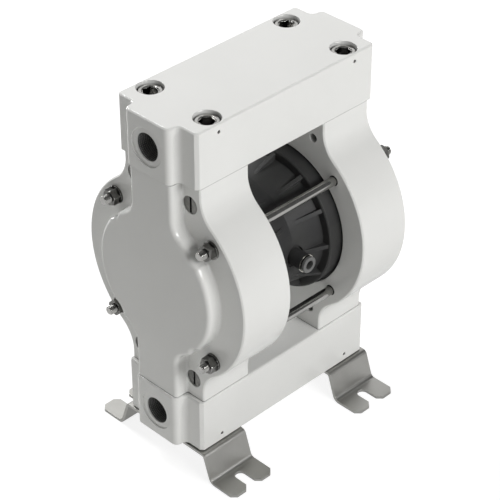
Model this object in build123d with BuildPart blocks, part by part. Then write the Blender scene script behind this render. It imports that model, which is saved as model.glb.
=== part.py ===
from build123d import *
import os
from math import cos, radians, sin, sqrt

os.makedirs("parts", exist_ok=True)

# Air operated double diaphragm pump, machined from plastic blocks, on two bent feet.
# X runs along the diaphragm shaft, Z is up, and the origin is on the floor under the middle.

# Liquid end: two manifolds with a housing block between them at each end
manifold_length = 200.0
manifold_width = 89.6
manifold_height = 52.0
housing_thickness = 53.0
housing_step = 4.0
neck_step = 1.3
neck_reach = 14.0
neck_fillet = 30.0
round_radius = 91.5
edge_break = 1.2
corner_break = 2.8

# Port boss on each manifold end, and the raised panel that carries it down the housing
boss_reach = 11.0
boss_width = 50.0
boss_corner = 5.6
boss_root = 4.8
panel_sink = 2.0
panel_inset = 26.5
panel_neck_step = 1.0
panel_neck_fillet = 18.0
panel_rim = 3.8
panel_root = 2.0
spotface_radius = 16.0
spotface_corner = 4.6

# Feet bent from stainless sheet
sheet = 2.5
leg_drop = 25.0
foot_width = 48.2
foot_overhang = 1.4
foot_shoulder = 4.1
leg_splay = 8.3
toe_length = 27.0
bend_radius = 4.6
foot_slot_width = 10.0
foot_slot_depth = 16.3
prong_break = 4.5
foot_screw_y = 11.0
foot_screw_shank = 6.0
foot_screw_head = 11.0
foot_screw_head_height = 3.2
foot_screw_length = 12.0
foot_screw_hex = 4.0
foot_screw_hex_depth = 2.2

# Ports: a G3/4 thread with a seal face round it, leading into the manifold bore
port_radius = 12.1
port_depth = 18.0
port_face_radius = 17.0
port_face_depth = 1.2
passage_radius = 10.0
branch_radius = 9.5
plug_hex = 12.0
plug_hex_depth = 9.0

# Ball valves in the housing necks
valve_offset = 28.0
valve_pocket_radius = 17.0
valve_fit = 0.05
ball_radius = 12.7
ball_lift = 7.0
ball_gap = 0.15
seat_height = 8.0
seat_bore_radius = 8.5
seat_cone = 3.0
cage_wall = 2.0
cage_rib_width = 4.0
cage_rib_gap = 0.5
cage_stop_height = 4.0
cage_bar_width = 7.0
ring_radius = 20.5
ring_section = 1.4
ring_groove = 2.9

# Manifold screws: cap screws into slotted cross-dowel nuts
screw_end_inset = 23.6
screw_side_inset = 12.8
screw_shank = 10.0
screw_head = 21.4
screw_head_height = 14.0
screw_hex = 12.0
screw_hex_depth = 7.0
screw_hex_rim = 0.8
screw_turns = (8.0, 41.0, 22.0, 53.0)
screw_sink = 2.6
screw_hole = 11.0
screw_counterbore = 23.0
screw_past_dowel = 7.0
screw_end_play = 1.0
drain_radius = 1.5
drain_drop = 7.5
dowel_radius = 7.8
dowel_hole_radius = 7.95
dowel_drop = 19.0
dowel_length = 36.0
dowel_slot = 2.2
dowel_slot_depth = 3.0
dowel_sink = 0.6
pushout_radius = 4.0
thread_play = 0.05

# Tie rods through both housings
stud_inset = 12.75
rod_radius = 4.0
rod_hole_radius = 4.75
rod_past_nut = 6.2
rod_chamfer = 0.8
nut_flats = 13.0
nut_height = 6.8
nut_chamfer = 0.7
washer_radius = 8.0
washer_thickness = 1.6

# Centre body between the diaphragms
flange_inset = 25.3
flange_play = 2.0
flange_seat = 4.0
flange_thickness = 17.0
flange_edge = 1.0
drum_inset = 13.2
drum_flare = 5.0
rib_count = 12
rib_thickness = 3.6
rib_start_x = 7.0
rib_tip_inset = 1.8
dish_inset = 21.2
dish_depth = 13.5

# Diaphragms, their plates and the shaft
rim_play = 0.1
diaphragm_thickness = 3.0
rim_thickness = 4.8
rim_width = 8.2
bulge = 5.0
bulge_inner_radius = 35.0
bulge_rim_gap = 2.0
bowl_step = 1.0
bowl_depth = 22.0
bowl_floor_radius = 30.0
plate_step = 2.0
plate_gap = 0.1
inner_plate_thickness = 5.0
outer_plate_thickness = 7.0
outer_plate_dome = 3.0
plate_edge = 2.0
shaft_radius = 8.0
shaft_stud_radius = 5.0
stud_end_play = 1.0
running_fit = 0.05
shaft_cavity_radius = 10.0
bush_radius = 11.0
bush_length = 11.0
seal_radius = 12.0
seal_length = 4.0
seal_sink = 0.5

# Air valve above the shaft and pilot piston below it
spool_rise = 27.0
spool_radius = 7.0
spool_waist_radius = 4.8
spool_land = 6.0
spool_travel = 4.0
spool_ring_width = 1.6
stop_gap = 0.1
cap_length = 6.0
cap_sink = 0.5
sleeve_radius = 10.5
pilot_drop = 25.0
pilot_radius = 4.0
pilot_stand = 0.7
pilot_collar_radius = 6.0
pilot_travel = 3.5
pilot_bush_radius = 7.5
pilot_bush_length = 11.5
gallery_radius = 3.2
gallery_rise_radius = 2.6
gallery_gap = 4.5
chamber_port_x = 11.0
chamber_port_radius = 2.2
chamber_duct_radius = 2.6
chamber_duct_rise = 13.5

# Air inlet fitting on the front and exhaust silencer on the back
seat_flat_depth = 1.0
seat_flat_play = 1.6
fitting_radius = 7.7
fitting_height = 15.4
fitting_thread_radius = 5.0
fitting_thread_length = 8.0
fitting_bore = 3.0
fitting_cap_radius = 8.0
fitting_cap_height = 0.9
tube_radius = 4.05
collet_radius = 7.3
collet_stand = 3.6
collet_travel = 1.0
collet_stem_radius = 5.5
collet_stem_length = 7.0
socket_length = 4.0
silencer_thread_radius = 6.5
silencer_thread_length = 9.0
silencer_hex = 19.0
silencer_hex_height = 6.0
silencer_radius = 9.3
silencer_length = 22.0
silencer_bore = 5.0
silencer_dome = 3.0

# Margin used only to pick edges and corners by where they lie
tolerance = 0.1

# Heights, and the housings between the manifolds
half_height = round_radius + neck_reach
housing_height = 2 * half_height
below_joint = half_height - tolerance
leg_height = leg_drop + sheet
inlet_top_z = leg_height + manifold_height
outlet_bottom_z = inlet_top_z + housing_height
axis_z = inlet_top_z + half_height
manifold_half = manifold_length / 2
boss_length = manifold_length + 2 * boss_reach
housing_outer_x = manifold_half - housing_step
housing_inner_x = housing_outer_x - housing_thickness
panel_height = manifold_half + boss_reach - panel_sink - housing_outer_x
panel_radius = round_radius - panel_inset
panel_neck_width = boss_width - 2 * panel_neck_step
neck_width = manifold_width - 2 * neck_step

# Feet under the manifold
foot_shoulder_y = manifold_width / 2 + foot_shoulder
foot_heel_y = foot_shoulder_y + leg_splay
foot_tip_y = foot_heel_y + toe_length
foot_slot_y = foot_tip_y - foot_slot_depth
foot_end_x = manifold_half + foot_overhang
foot_slot_x = foot_end_x - foot_width / 2

# Screws, dowels, plugs and tie rods
screw_x = manifold_half - screw_end_inset
screw_y = manifold_width / 2 - screw_side_inset
dowel_rise = half_height - dowel_drop
dowel_depth = dowel_sink + dowel_length
screw_length = manifold_height - screw_sink - screw_head_height + dowel_drop + screw_past_dowel
plug_radius = port_radius - thread_play
stud_circle = round_radius - stud_inset
rod_end_x = housing_outer_x + washer_thickness + nut_height + rod_past_nut

# Valves: the ball's height follows from the cone it sits on
valve_x = housing_inner_x + valve_offset
ball_rise = (ball_radius + ball_gap) * sqrt(2) - seat_bore_radius - seat_cone
cage_height = ball_rise + ball_radius + ball_lift + ball_gap + cage_stop_height
valve_stack = seat_height + cage_height

# Centre body and the recess that seats it
flange_outer_x = housing_inner_x + flange_seat
flange_inner_x = flange_outer_x - flange_thickness
flange_radius = round_radius - flange_inset
recess_radius = flange_radius + flange_play
drum_radius = flange_radius - drum_inset
drum_slope = drum_flare / flange_inner_x
rib_tip_radius = flange_radius - rib_tip_inset
dish_radius = flange_radius - dish_inset
dish_floor_x = flange_outer_x - dish_depth

# Diaphragms and the moving plates
rim_inner_x = flange_outer_x + rim_play
rim_inner_radius = flange_radius - rim_width
recess_floor_x = rim_inner_x + rim_thickness + rim_play
bowl_radius = rim_inner_radius - bowl_step
bowl_floor_x = recess_floor_x + bowl_depth
bulge_outer_radius = rim_inner_radius - bulge_rim_gap
membrane_x = rim_inner_x + rim_thickness / 2
plate_radius = bulge_inner_radius - plate_step
inner_plate_x = membrane_x - diaphragm_thickness / 2 - plate_gap
outer_plate_x = membrane_x + diaphragm_thickness / 2 + plate_gap
dome_rise = outer_plate_dome + plate_edge
dome_radius = (plate_radius ** 2 + dome_rise ** 2) / (2 * dome_rise)
stud_end_x = outer_plate_x + outer_plate_thickness - stud_end_play

# Shaft guides, spool and pilot piston
bush_inner_x = dish_floor_x - seal_sink - seal_length - bush_length
sleeve_half_length = dish_floor_x - cap_sink - cap_length
spool_half_length = sleeve_half_length - spool_travel - stop_gap
pilot_bush_inner_x = dish_floor_x - pilot_bush_length
pilot_collar_half = pilot_bush_inner_x - pilot_travel - stop_gap
pilot_end_x = dish_floor_x + pilot_stand
gallery_y = sleeve_radius + gallery_gap
chamber_duct_z = spool_rise + chamber_duct_rise

# Air fitting and silencer
seat_flat_y = drum_radius - seat_flat_depth
fitting_flat_radius = fitting_cap_radius + seat_flat_play
fitting_end_y = seat_flat_y + fitting_height
collet_head_y = fitting_end_y + collet_travel + stop_gap
collet_face_y = fitting_end_y + collet_stand
silencer_flat_radius = silencer_hex / sqrt(3) + seat_flat_play

sides = {"left": -1, "right": 1}
shaft_axis = Axis((0, 0, axis_z), (1, 0, 0))


def end_plane(side, x):
    """Plane square to the shaft, seen from outside that end, with its y axis up."""
    return Plane(origin=(side * x, 0, axis_z), x_dir=(0, side, 0), z_dir=(side, 0, 0))


def section_plane(side):
    """Vertical plane through the shaft: x runs outward along the shaft, y is the radius."""
    return Plane(origin=(0, 0, axis_z), x_dir=(side, 0, 0), z_dir=(0, -side, 0))


def level_plane(z, up=1):
    """Horizontal plane at a height, drawn upward or downward."""
    return Plane(origin=(0, 0, z), x_dir=(1, 0, 0), z_dir=(0, 0, up))


def inside_panel_band(point):
    """Whether a point on the housing's outer face belongs to the panel, not to the outline."""
    from_axis = sqrt(point.Y ** 2 + (point.Z - axis_z) ** 2)
    return abs(point.Y) < (neck_width + panel_neck_width) / 4 or from_axis < stud_circle + rod_radius


def side_plane(y, toward):
    """Vertical plane square to Y at the shaft height, drawn toward the front or back."""
    return Plane(origin=(0, y, axis_z), x_dir=(1, 0, 0), z_dir=(0, toward, 0))


# Manifolds: the same block twice, the inlet one turned over
for name, joint_z, up in (("outlet", outlet_bottom_z, 1), ("inlet", inlet_top_z, -1)):
    mid_z = joint_z + up * manifold_height / 2
    face_z = joint_z + up * manifold_height
    with BuildPart() as manifold:
        with BuildSketch(level_plane(joint_z, up)) as block:
            Rectangle(manifold_length, manifold_width)
            chamfer(block.vertices(), corner_break)
            Rectangle(boss_length, boss_width)
            boss_edges = block.vertices().group_by(Axis.X)
            fillet(boss_edges[0] + boss_edges[-1], boss_corner)
            boss_band = boss_width / 2 + tolerance
            root = block.vertices().filter_by_position(Axis.Y, -boss_band, boss_band)
            fillet(root.filter_by(lambda v: abs(abs(v.X) - manifold_half) < tolerance), boss_root)
        extrude(amount=manifold_height)
        flat_ends = manifold.faces().filter_by(Axis.Z)
        chamfer(flat_ends.edges(), edge_break)
        # Main passage and the ports at both ends
        with BuildSketch(Plane.YZ.offset(-boss_length / 2)):
            with Locations((0, mid_z)):
                Circle(passage_radius)
        extrude(amount=boss_length, mode=Mode.SUBTRACT)
        for side in sides.values():
            port = Plane(origin=(side * boss_length / 2, 0, mid_z), z_dir=(side, 0, 0))
            with Locations(port):
                CounterBoreHole(port_radius, port_face_radius, port_face_depth, port_depth)
        # Branches to the valves, with a seal groove round each
        with BuildSketch(level_plane(joint_z, up)):
            with Locations((-valve_x, 0), (valve_x, 0)):
                Circle(branch_radius)
        extrude(amount=manifold_height / 2, mode=Mode.SUBTRACT)
        with BuildSketch(level_plane(joint_z, up)):
            with Locations((-valve_x, 0), (valve_x, 0)):
                Circle(ring_radius + ring_groove / 2)
                Circle(ring_radius - ring_groove / 2, mode=Mode.SUBTRACT)
        extrude(amount=ring_groove, mode=Mode.SUBTRACT)
        # Screw holes, and the small drains of their counterbores
        with Locations(level_plane(face_z, up)):
            with GridLocations(2 * screw_x, 2 * screw_y, 2, 2):
                CounterBoreHole(screw_hole / 2, screw_counterbore / 2, screw_sink + screw_head_height)
        with BuildSketch(Plane.XZ.offset(-manifold_width / 2)):
            with Locations((-screw_x, face_z - up * drain_drop), (screw_x, face_z - up * drain_drop)):
                Circle(drain_radius)
        extrude(amount=manifold_width, mode=Mode.SUBTRACT)
        # Threaded holes for the foot brackets
        if name == "inlet":
            with Locations(level_plane(face_z, up)):
                with Locations((-foot_slot_x, 0), (foot_slot_x, 0)):
                    with GridLocations(0.0, 2 * foot_screw_y, 1, 2):
                        Hole(foot_screw_shank / 2 + thread_play, foot_screw_length)
    manifold.part.label = f"{name}_manifold"
    export_step(manifold.part, f"parts/{name}_manifold.step")

# Housings: a round block with a neck at each end, and the raised panel outside
for side_name, side in sides.items():
    with BuildPart() as housing:
        with BuildSketch(end_plane(side, housing_inner_x)) as outline:
            Circle(round_radius)
            Rectangle(neck_width, housing_height)
            fillet(outline.vertices().filter_by_position(Axis.Y, -below_joint, below_joint), neck_fillet)
        extrude(amount=housing_thickness)
        outer_edges = housing.faces().filter_by(Axis.X).edges()
        chamfer(outer_edges.filter_by(lambda e: abs(e.center().Z - axis_z) < below_joint), edge_break)
        with BuildSketch(end_plane(side, housing_outer_x)) as panel:
            Circle(panel_radius)
            Rectangle(panel_neck_width, housing_height)
            fillet(panel.vertices().filter_by_position(Axis.Y, -below_joint, below_joint), panel_neck_fillet)
            with PolarLocations(stud_circle, 4, start_angle=45):
                Circle(spotface_radius, mode=Mode.SUBTRACT)
            fillet(panel.vertices(Select.LAST), spotface_corner)
        extrude(amount=panel_height)
        rim = housing.faces().sort_by(Axis.X)[-1 if side > 0 else 0].edges()
        fillet(rim.filter_by(lambda e: abs(e.center().Z - axis_z) < below_joint), panel_rim)
        # Only the panel's own edges meet one of its curved or flat walls
        face_x = side * housing_outer_x
        root = housing.edges().filter_by_position(Axis.X, face_x - tolerance, face_x + tolerance)
        root = root.filter_by(lambda e: abs(e.center().Z - axis_z) < below_joint)
        fillet(root.filter_by(lambda e: inside_panel_band(e.center())), panel_root)
        # Recess for the centre body, and the liquid bowl behind the diaphragm
        with BuildSketch(section_plane(side)):
            with BuildLine():
                Polyline((housing_inner_x, 0), (housing_inner_x, recess_radius),
                         (recess_floor_x, recess_radius), (recess_floor_x, bowl_radius))
                RadiusArc((recess_floor_x, bowl_radius), (bowl_floor_x, bowl_floor_radius), bowl_radius)
                Polyline((bowl_floor_x, bowl_floor_radius), (bowl_floor_x, 0), (housing_inner_x, 0))
            make_face()
        revolve(axis=shaft_axis, mode=Mode.SUBTRACT)
        # Valve pockets and the passages from them into the bowl
        for joint_z, up in ((inlet_top_z, 1), (outlet_bottom_z, -1)):
            with BuildSketch(level_plane(joint_z, up)):
                with Locations((side * valve_x, 0)):
                    Circle(valve_pocket_radius)
            extrude(amount=valve_stack, mode=Mode.SUBTRACT)
            with BuildSketch(level_plane(joint_z, up)):
                with Locations((side * valve_x, 0)):
                    Circle(passage_radius)
            extrude(amount=half_height - bowl_floor_radius, mode=Mode.SUBTRACT)
            # Screw holes down to the cross dowels
            with BuildSketch(level_plane(joint_z, up)):
                with Locations((side * screw_x, screw_y), (side * screw_x, -screw_y)):
                    Circle(screw_hole / 2)
            extrude(amount=half_height - dowel_rise + screw_past_dowel + screw_end_play, mode=Mode.SUBTRACT)
        # Cross-dowel holes from outside, with a smaller push-out hole right through
        with Locations(end_plane(side, housing_outer_x)):
            with GridLocations(2 * screw_y, 2 * dowel_rise, 2, 2):
                CounterBoreHole(pushout_radius, dowel_hole_radius, dowel_depth)
            with PolarLocations(stud_circle, 4, start_angle=45):
                Hole(rod_hole_radius)
    housing.part.label = f"{side_name}_housing"
    export_step(housing.part, f"parts/{side_name}_housing.step")

# Feet: a hat section across the inlet manifold, with open slots in its four toes
for side_name, side in sides.items():
    with BuildPart() as bracket:
        with BuildSketch(Plane.YZ.offset(side * foot_end_x)):
            with BuildLine():
                top = FilletPolyline((-foot_tip_y, sheet), (-foot_heel_y, sheet),
                                     (-foot_shoulder_y, leg_height), (foot_shoulder_y, leg_height),
                                     (foot_heel_y, sheet), (foot_tip_y, sheet), radius=bend_radius)
                offset(top, amount=sheet, side=Side.RIGHT)
            make_face()
        extrude(amount=-side * foot_width)
        with BuildSketch(level_plane(0)):
            for front in (-1, 1):
                with Locations((side * foot_slot_x, front * foot_slot_y)):
                    Circle(foot_slot_width / 2)
                with Locations((side * foot_slot_x, front * (foot_slot_y + foot_tip_y) / 2)):
                    Rectangle(foot_slot_width, foot_tip_y - foot_slot_y)
        extrude(amount=sheet, mode=Mode.SUBTRACT)
        corners = bracket.edges().filter_by(Axis.Z)
        chamfer(corners.filter_by(lambda e: abs(abs(e.center().Y) - foot_tip_y) < tolerance), prong_break)
        # Clearance for the manifold screw heads, and holes for the bracket's own screws
        with BuildSketch(level_plane(leg_drop)):
            with Locations((side * screw_x, screw_y), (side * screw_x, -screw_y)):
                Circle(screw_counterbore / 2)
            with Locations((side * foot_slot_x, foot_screw_y), (side * foot_slot_x, -foot_screw_y)):
                Circle(foot_screw_shank / 2 + thread_play)
        extrude(amount=sheet, mode=Mode.SUBTRACT)
    bracket.part.label = f"{side_name}_foot_bracket"
    export_step(bracket.part, f"parts/{side_name}_foot_bracket.step")

with BuildPart() as foot_screws:
    with BuildSketch(level_plane(leg_drop, -1)):
        with GridLocations(2 * foot_slot_x, 2 * foot_screw_y, 2, 2):
            Circle(foot_screw_head / 2)
    extrude(amount=foot_screw_head_height)
    chamfer(foot_screws.edges().group_by(Axis.Z)[0], edge_break / 2)
    with BuildSketch(level_plane(leg_drop - foot_screw_head_height)):
        with GridLocations(2 * foot_slot_x, 2 * foot_screw_y, 2, 2):
            RegularPolygon(foot_screw_hex / 2, 6, major_radius=False)
    extrude(amount=foot_screw_hex_depth, mode=Mode.SUBTRACT)
    with BuildSketch(level_plane(leg_drop)):
        with GridLocations(2 * foot_slot_x, 2 * foot_screw_y, 2, 2):
            Circle(foot_screw_shank / 2)
    extrude(amount=foot_screw_length)
foot_screws.part.label = "foot_screws"
export_step(foot_screws.part, "parts/foot_screws.step")

# Manifold screws and their cross dowels
for name, joint_z, up in (("outlet", outlet_bottom_z, 1), ("inlet", inlet_top_z, -1)):
    head_top = joint_z + up * (manifold_height - screw_sink)
    with BuildPart() as screws:
        with BuildSketch(level_plane(head_top, -up)):
            with GridLocations(2 * screw_x, 2 * screw_y, 2, 2):
                Circle(screw_head / 2)
        extrude(amount=screw_head_height)
        chamfer(screws.edges().group_by(Axis.Z)[-1 if up > 0 else 0], edge_break)
        # The sockets stand at different turns, as tightening leaves them
        with BuildSketch(level_plane(head_top, -up)):
            for place, turn in zip(GridLocations(2 * screw_x, 2 * screw_y, 2, 2), screw_turns):
                with Locations(place):
                    RegularPolygon(screw_hex / 2, 6, major_radius=False, rotation=turn)
        extrude(amount=screw_hex_depth, mode=Mode.SUBTRACT)
        with BuildSketch(level_plane(head_top, -up)):
            with GridLocations(2 * screw_x, 2 * screw_y, 2, 2):
                Circle(screw_hex / sqrt(3) + screw_hex_rim / 2)
        extrude(amount=screw_hex_rim, taper=45, mode=Mode.SUBTRACT)
        with BuildSketch(level_plane(head_top - up * screw_head_height, -up)):
            with GridLocations(2 * screw_x, 2 * screw_y, 2, 2):
                Circle(screw_shank / 2)
        extrude(amount=screw_length)
    screws.part.label = f"{name}_manifold_screws"
    export_step(screws.part, f"parts/{name}_manifold_screws.step")

    with BuildPart() as dowels:
        for side in sides.values():
            start = end_plane(side, housing_outer_x - dowel_sink)
            with BuildSketch(start):
                with Locations((-screw_y, up * dowel_rise), (screw_y, up * dowel_rise)):
                    Circle(dowel_radius)
            extrude(amount=-dowel_length)
            with BuildSketch(start):
                with Locations((-screw_y, up * dowel_rise), (screw_y, up * dowel_rise)):
                    Rectangle(dowel_slot, 3 * dowel_radius)
            extrude(amount=-dowel_slot_depth, mode=Mode.SUBTRACT)
        with BuildSketch(level_plane(axis_z + up * (dowel_rise - 2 * dowel_radius), up)):
            with GridLocations(2 * screw_x, 2 * screw_y, 2, 2):
                Circle(screw_shank / 2 + thread_play)
        extrude(amount=4 * dowel_radius, mode=Mode.SUBTRACT)
    dowels.part.label = f"{name}_dowel_nuts"
    export_step(dowels.part, f"parts/{name}_dowel_nuts.step")

# Tie rods with their washers and nuts
with BuildPart() as tie_rods:
    with BuildSketch(Plane(origin=(-rod_end_x, 0, axis_z), x_dir=(0, 1, 0), z_dir=(1, 0, 0))):
        with PolarLocations(stud_circle, 4, start_angle=45):
            Circle(rod_radius)
    extrude(amount=2 * rod_end_x)
    chamfer(tie_rods.edges(), rod_chamfer)
tie_rods.part.label = "tie_rods"
export_step(tie_rods.part, "parts/tie_rods.step")

for side_name, side in sides.items():
    with BuildPart() as washers:
        with BuildSketch(end_plane(side, housing_outer_x)):
            with PolarLocations(stud_circle, 4, start_angle=45):
                Circle(washer_radius)
                Circle(rod_radius + thread_play, mode=Mode.SUBTRACT)
        extrude(amount=washer_thickness)
    washers.part.label = f"{side_name}_washers"
    export_step(washers.part, f"parts/{side_name}_washers.step")

    with BuildPart() as nuts:
        # A round blank with broken edges, cut to a hexagon
        with BuildSketch(end_plane(side, housing_outer_x + washer_thickness)):
            with PolarLocations(stud_circle, 4, start_angle=45):
                Circle(nut_flats / sqrt(3))
        extrude(amount=nut_height)
        chamfer(nuts.edges().filter_by(GeomType.CIRCLE), nut_chamfer)
        with BuildSketch(end_plane(side, housing_outer_x + washer_thickness)):
            with PolarLocations(stud_circle, 4, start_angle=45):
                RegularPolygon(nut_flats / 2, 6, major_radius=False)
        extrude(amount=nut_height, mode=Mode.INTERSECT)
        with BuildSketch(end_plane(side, housing_outer_x + washer_thickness)):
            with PolarLocations(stud_circle, 4, start_angle=45):
                Circle(rod_radius + thread_play)
        extrude(amount=nut_height, mode=Mode.SUBTRACT)
    nuts.part.label = f"{side_name}_nuts"
    export_step(nuts.part, f"parts/{side_name}_nuts.step")

# Centre body: a drum with a flange at each end, stiffened by gusset ribs
with BuildPart() as centre_body:
    for side in sides.values():
        with BuildSketch(section_plane(side)):
            with BuildLine():
                Polyline((0, 0), (0, drum_radius), (flange_inner_x, drum_radius + drum_flare),
                         (flange_inner_x, flange_radius - flange_edge),
                         (flange_inner_x + flange_edge, flange_radius), (flange_outer_x, flange_radius),
                         (flange_outer_x, dish_radius), (dish_floor_x, dish_radius), (dish_floor_x, 0),
                         close=True)
            make_face()
        revolve(axis=shaft_axis)
        for index in range(rib_count):
            turn = radians(index * 360 / rib_count)
            rib_normal = (0, -side * sin(turn), side * cos(turn))
            with BuildSketch(Plane(origin=(0, 0, axis_z), x_dir=(side, 0, 0), z_dir=rib_normal)):
                with BuildLine():
                    Polyline((rib_start_x, drum_radius - edge_break),
                             (rib_start_x, drum_radius + drum_slope * rib_start_x),
                             (flange_inner_x + flange_edge, rib_tip_radius),
                             (flange_inner_x + flange_edge, drum_radius - edge_break), close=True)
                make_face()
            extrude(amount=rib_thickness / 2, both=True)
    # Flats for the air fitting and the silencer, with their threaded holes
    for toward, flat_radius, hole_radius, hole_length in (
            (-1, fitting_flat_radius, fitting_thread_radius, fitting_thread_length),
            (1, silencer_flat_radius, silencer_thread_radius, silencer_thread_length)):
        with BuildSketch(side_plane(toward * seat_flat_y, toward)):
            Circle(flat_radius)
        extrude(amount=flange_radius - seat_flat_y, mode=Mode.SUBTRACT)
        with BuildSketch(side_plane(toward * seat_flat_y, -toward)):
            Circle(hole_radius + thread_play)
        extrude(amount=hole_length + stop_gap, mode=Mode.SUBTRACT)
        # Gallery inward, up past the shaft, and into the valve sleeve
        with BuildSketch(side_plane(toward * gallery_y, toward)):
            Circle(gallery_radius)
        extrude(amount=seat_flat_y - gallery_y, mode=Mode.SUBTRACT)
        with BuildSketch(level_plane(axis_z)):
            with Locations((0, toward * gallery_y)):
                Circle(gallery_rise_radius)
        extrude(amount=spool_rise, mode=Mode.SUBTRACT)
        with BuildSketch(side_plane(0, toward)):
            with Locations((0, spool_rise)):
                Circle(gallery_radius)
        extrude(amount=gallery_y, mode=Mode.SUBTRACT)
    # Bores along the shaft direction
    for side in sides.values():
        with BuildSketch(end_plane(side, 0)):
            Circle(shaft_cavity_radius)
            with Locations((0, spool_rise)):
                Circle(sleeve_radius)
            with Locations((0, -pilot_drop)):
                Circle(pilot_collar_radius + 2 * running_fit)
        extrude(amount=dish_floor_x, mode=Mode.SUBTRACT)
        with BuildSketch(end_plane(side, bush_inner_x)):
            Circle(bush_radius)
        extrude(amount=dish_floor_x - bush_inner_x, mode=Mode.SUBTRACT)
        with BuildSketch(end_plane(side, bush_inner_x + bush_length)):
            Circle(seal_radius)
        extrude(amount=dish_floor_x - bush_inner_x - bush_length, mode=Mode.SUBTRACT)
        with BuildSketch(end_plane(side, pilot_bush_inner_x)):
            with Locations((0, -pilot_drop)):
                Circle(pilot_bush_radius)
        extrude(amount=dish_floor_x - pilot_bush_inner_x, mode=Mode.SUBTRACT)
        # Passage from the valve sleeve up and out to the air chamber
        with BuildSketch(level_plane(axis_z + spool_rise)):
            with Locations((side * chamber_port_x, 0)):
                Circle(chamber_port_radius)
        extrude(amount=chamber_duct_rise, mode=Mode.SUBTRACT)
        with BuildSketch(end_plane(side, chamber_port_x)):
            with Locations((0, chamber_duct_z)):
                Circle(chamber_duct_radius)
        extrude(amount=dish_floor_x - chamber_port_x, mode=Mode.SUBTRACT)
centre_body.part.label = "centre_body"
export_step(centre_body.part, "parts/centre_body.step")

# Shaft guides: a bush and a seal at each end of the drum
with BuildPart() as shaft_bushes:
    for side in sides.values():
        with BuildSketch(end_plane(side, bush_inner_x)):
            Circle(bush_radius)
            Circle(shaft_radius + running_fit, mode=Mode.SUBTRACT)
        extrude(amount=bush_length)
shaft_bushes.part.label = "shaft_bushes"
export_step(shaft_bushes.part, "parts/shaft_bushes.step")

with BuildPart() as shaft_seals:
    for side in sides.values():
        with BuildSketch(end_plane(side, bush_inner_x + bush_length)):
            Circle(seal_radius)
            Circle(shaft_radius + running_fit, mode=Mode.SUBTRACT)
        extrude(amount=seal_length)
shaft_seals.part.label = "shaft_seals"
export_step(shaft_seals.part, "parts/shaft_seals.step")

# Shaft with a threaded stud at each end
with BuildPart() as diaphragm_shaft:
    with BuildSketch(Plane.YZ.offset(-inner_plate_x + inner_plate_thickness)):
        with Locations((0, axis_z)):
            Circle(shaft_radius)
    extrude(amount=2 * (inner_plate_x - inner_plate_thickness))
    chamfer(diaphragm_shaft.edges().filter_by(GeomType.CIRCLE), edge_break / 2)
    with BuildSketch(Plane.YZ.offset(-stud_end_x)):
        with Locations((0, axis_z)):
            Circle(shaft_stud_radius)
    extrude(amount=2 * stud_end_x)
diaphragm_shaft.part.label = "diaphragm_shaft"
export_step(diaphragm_shaft.part, "parts/diaphragm_shaft.step")

for side_name, side in sides.items():
    with BuildPart() as inner_plate:
        with BuildSketch(end_plane(side, inner_plate_x)):
            Circle(plate_radius)
        extrude(amount=-inner_plate_thickness)
        fillet(inner_plate.edges().filter_by(GeomType.CIRCLE), plate_edge)
        with Locations(end_plane(side, inner_plate_x)):
            Hole(shaft_stud_radius + thread_play)
    inner_plate.part.label = f"{side_name}_inner_plate"
    export_step(inner_plate.part, f"parts/{side_name}_inner_plate.step")

    # Outer plate: closed on the liquid side, with a blind thread for the stud
    with BuildPart() as outer_plate:
        with BuildSketch(section_plane(side)):
            with BuildLine():
                Polyline((outer_plate_x, 0), (outer_plate_x, plate_radius - plate_edge),
                         (outer_plate_x + plate_edge, plate_radius),
                         (outer_plate_x + outer_plate_thickness - plate_edge, plate_radius))
                RadiusArc((outer_plate_x + outer_plate_thickness - plate_edge, plate_radius),
                          (outer_plate_x + outer_plate_thickness + outer_plate_dome, 0), dome_radius)
                Line((outer_plate_x + outer_plate_thickness + outer_plate_dome, 0), (outer_plate_x, 0))
            make_face()
        revolve(axis=shaft_axis)
        with Locations(end_plane(side, outer_plate_x)):
            with Locations(Rotation(180, 0, 0)):
                Hole(shaft_stud_radius + thread_play, outer_plate_thickness)
    outer_plate.part.label = f"{side_name}_outer_plate"
    export_step(outer_plate.part, f"parts/{side_name}_outer_plate.step")

    # Diaphragm: a thick rim, and a thin web with one roll toward the liquid
    half_web = diaphragm_thickness / 2
    with BuildPart() as diaphragm:
        with BuildSketch(section_plane(side)):
            with BuildLine():
                roll = bulge_outer_radius - bulge_inner_radius
                outer = Spline((membrane_x + half_web, bulge_inner_radius),
                               (membrane_x + half_web + bulge, bulge_inner_radius + roll / 2),
                               (membrane_x + half_web, bulge_outer_radius),
                               tangents=((0, 1), (0, 1)))
                inner = Spline((membrane_x - half_web, bulge_outer_radius),
                               (membrane_x - half_web + bulge, bulge_inner_radius + roll / 2),
                               (membrane_x - half_web, bulge_inner_radius),
                               tangents=((0, -1), (0, -1)))
                Polyline(outer @ 1, (membrane_x + half_web, rim_inner_radius),
                         (rim_inner_x + rim_thickness, rim_inner_radius),
                         (rim_inner_x + rim_thickness, flange_radius), (rim_inner_x, flange_radius),
                         (rim_inner_x, rim_inner_radius), (membrane_x - half_web, rim_inner_radius),
                         inner @ 0)
                Polyline(inner @ 1, (membrane_x - half_web, shaft_stud_radius + thread_play),
                         (membrane_x + half_web, shaft_stud_radius + thread_play), outer @ 0)
            make_face()
        revolve(axis=shaft_axis)
    diaphragm.part.label = f"{side_name}_diaphragm"
    export_step(diaphragm.part, f"parts/{side_name}_diaphragm.step")

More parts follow.
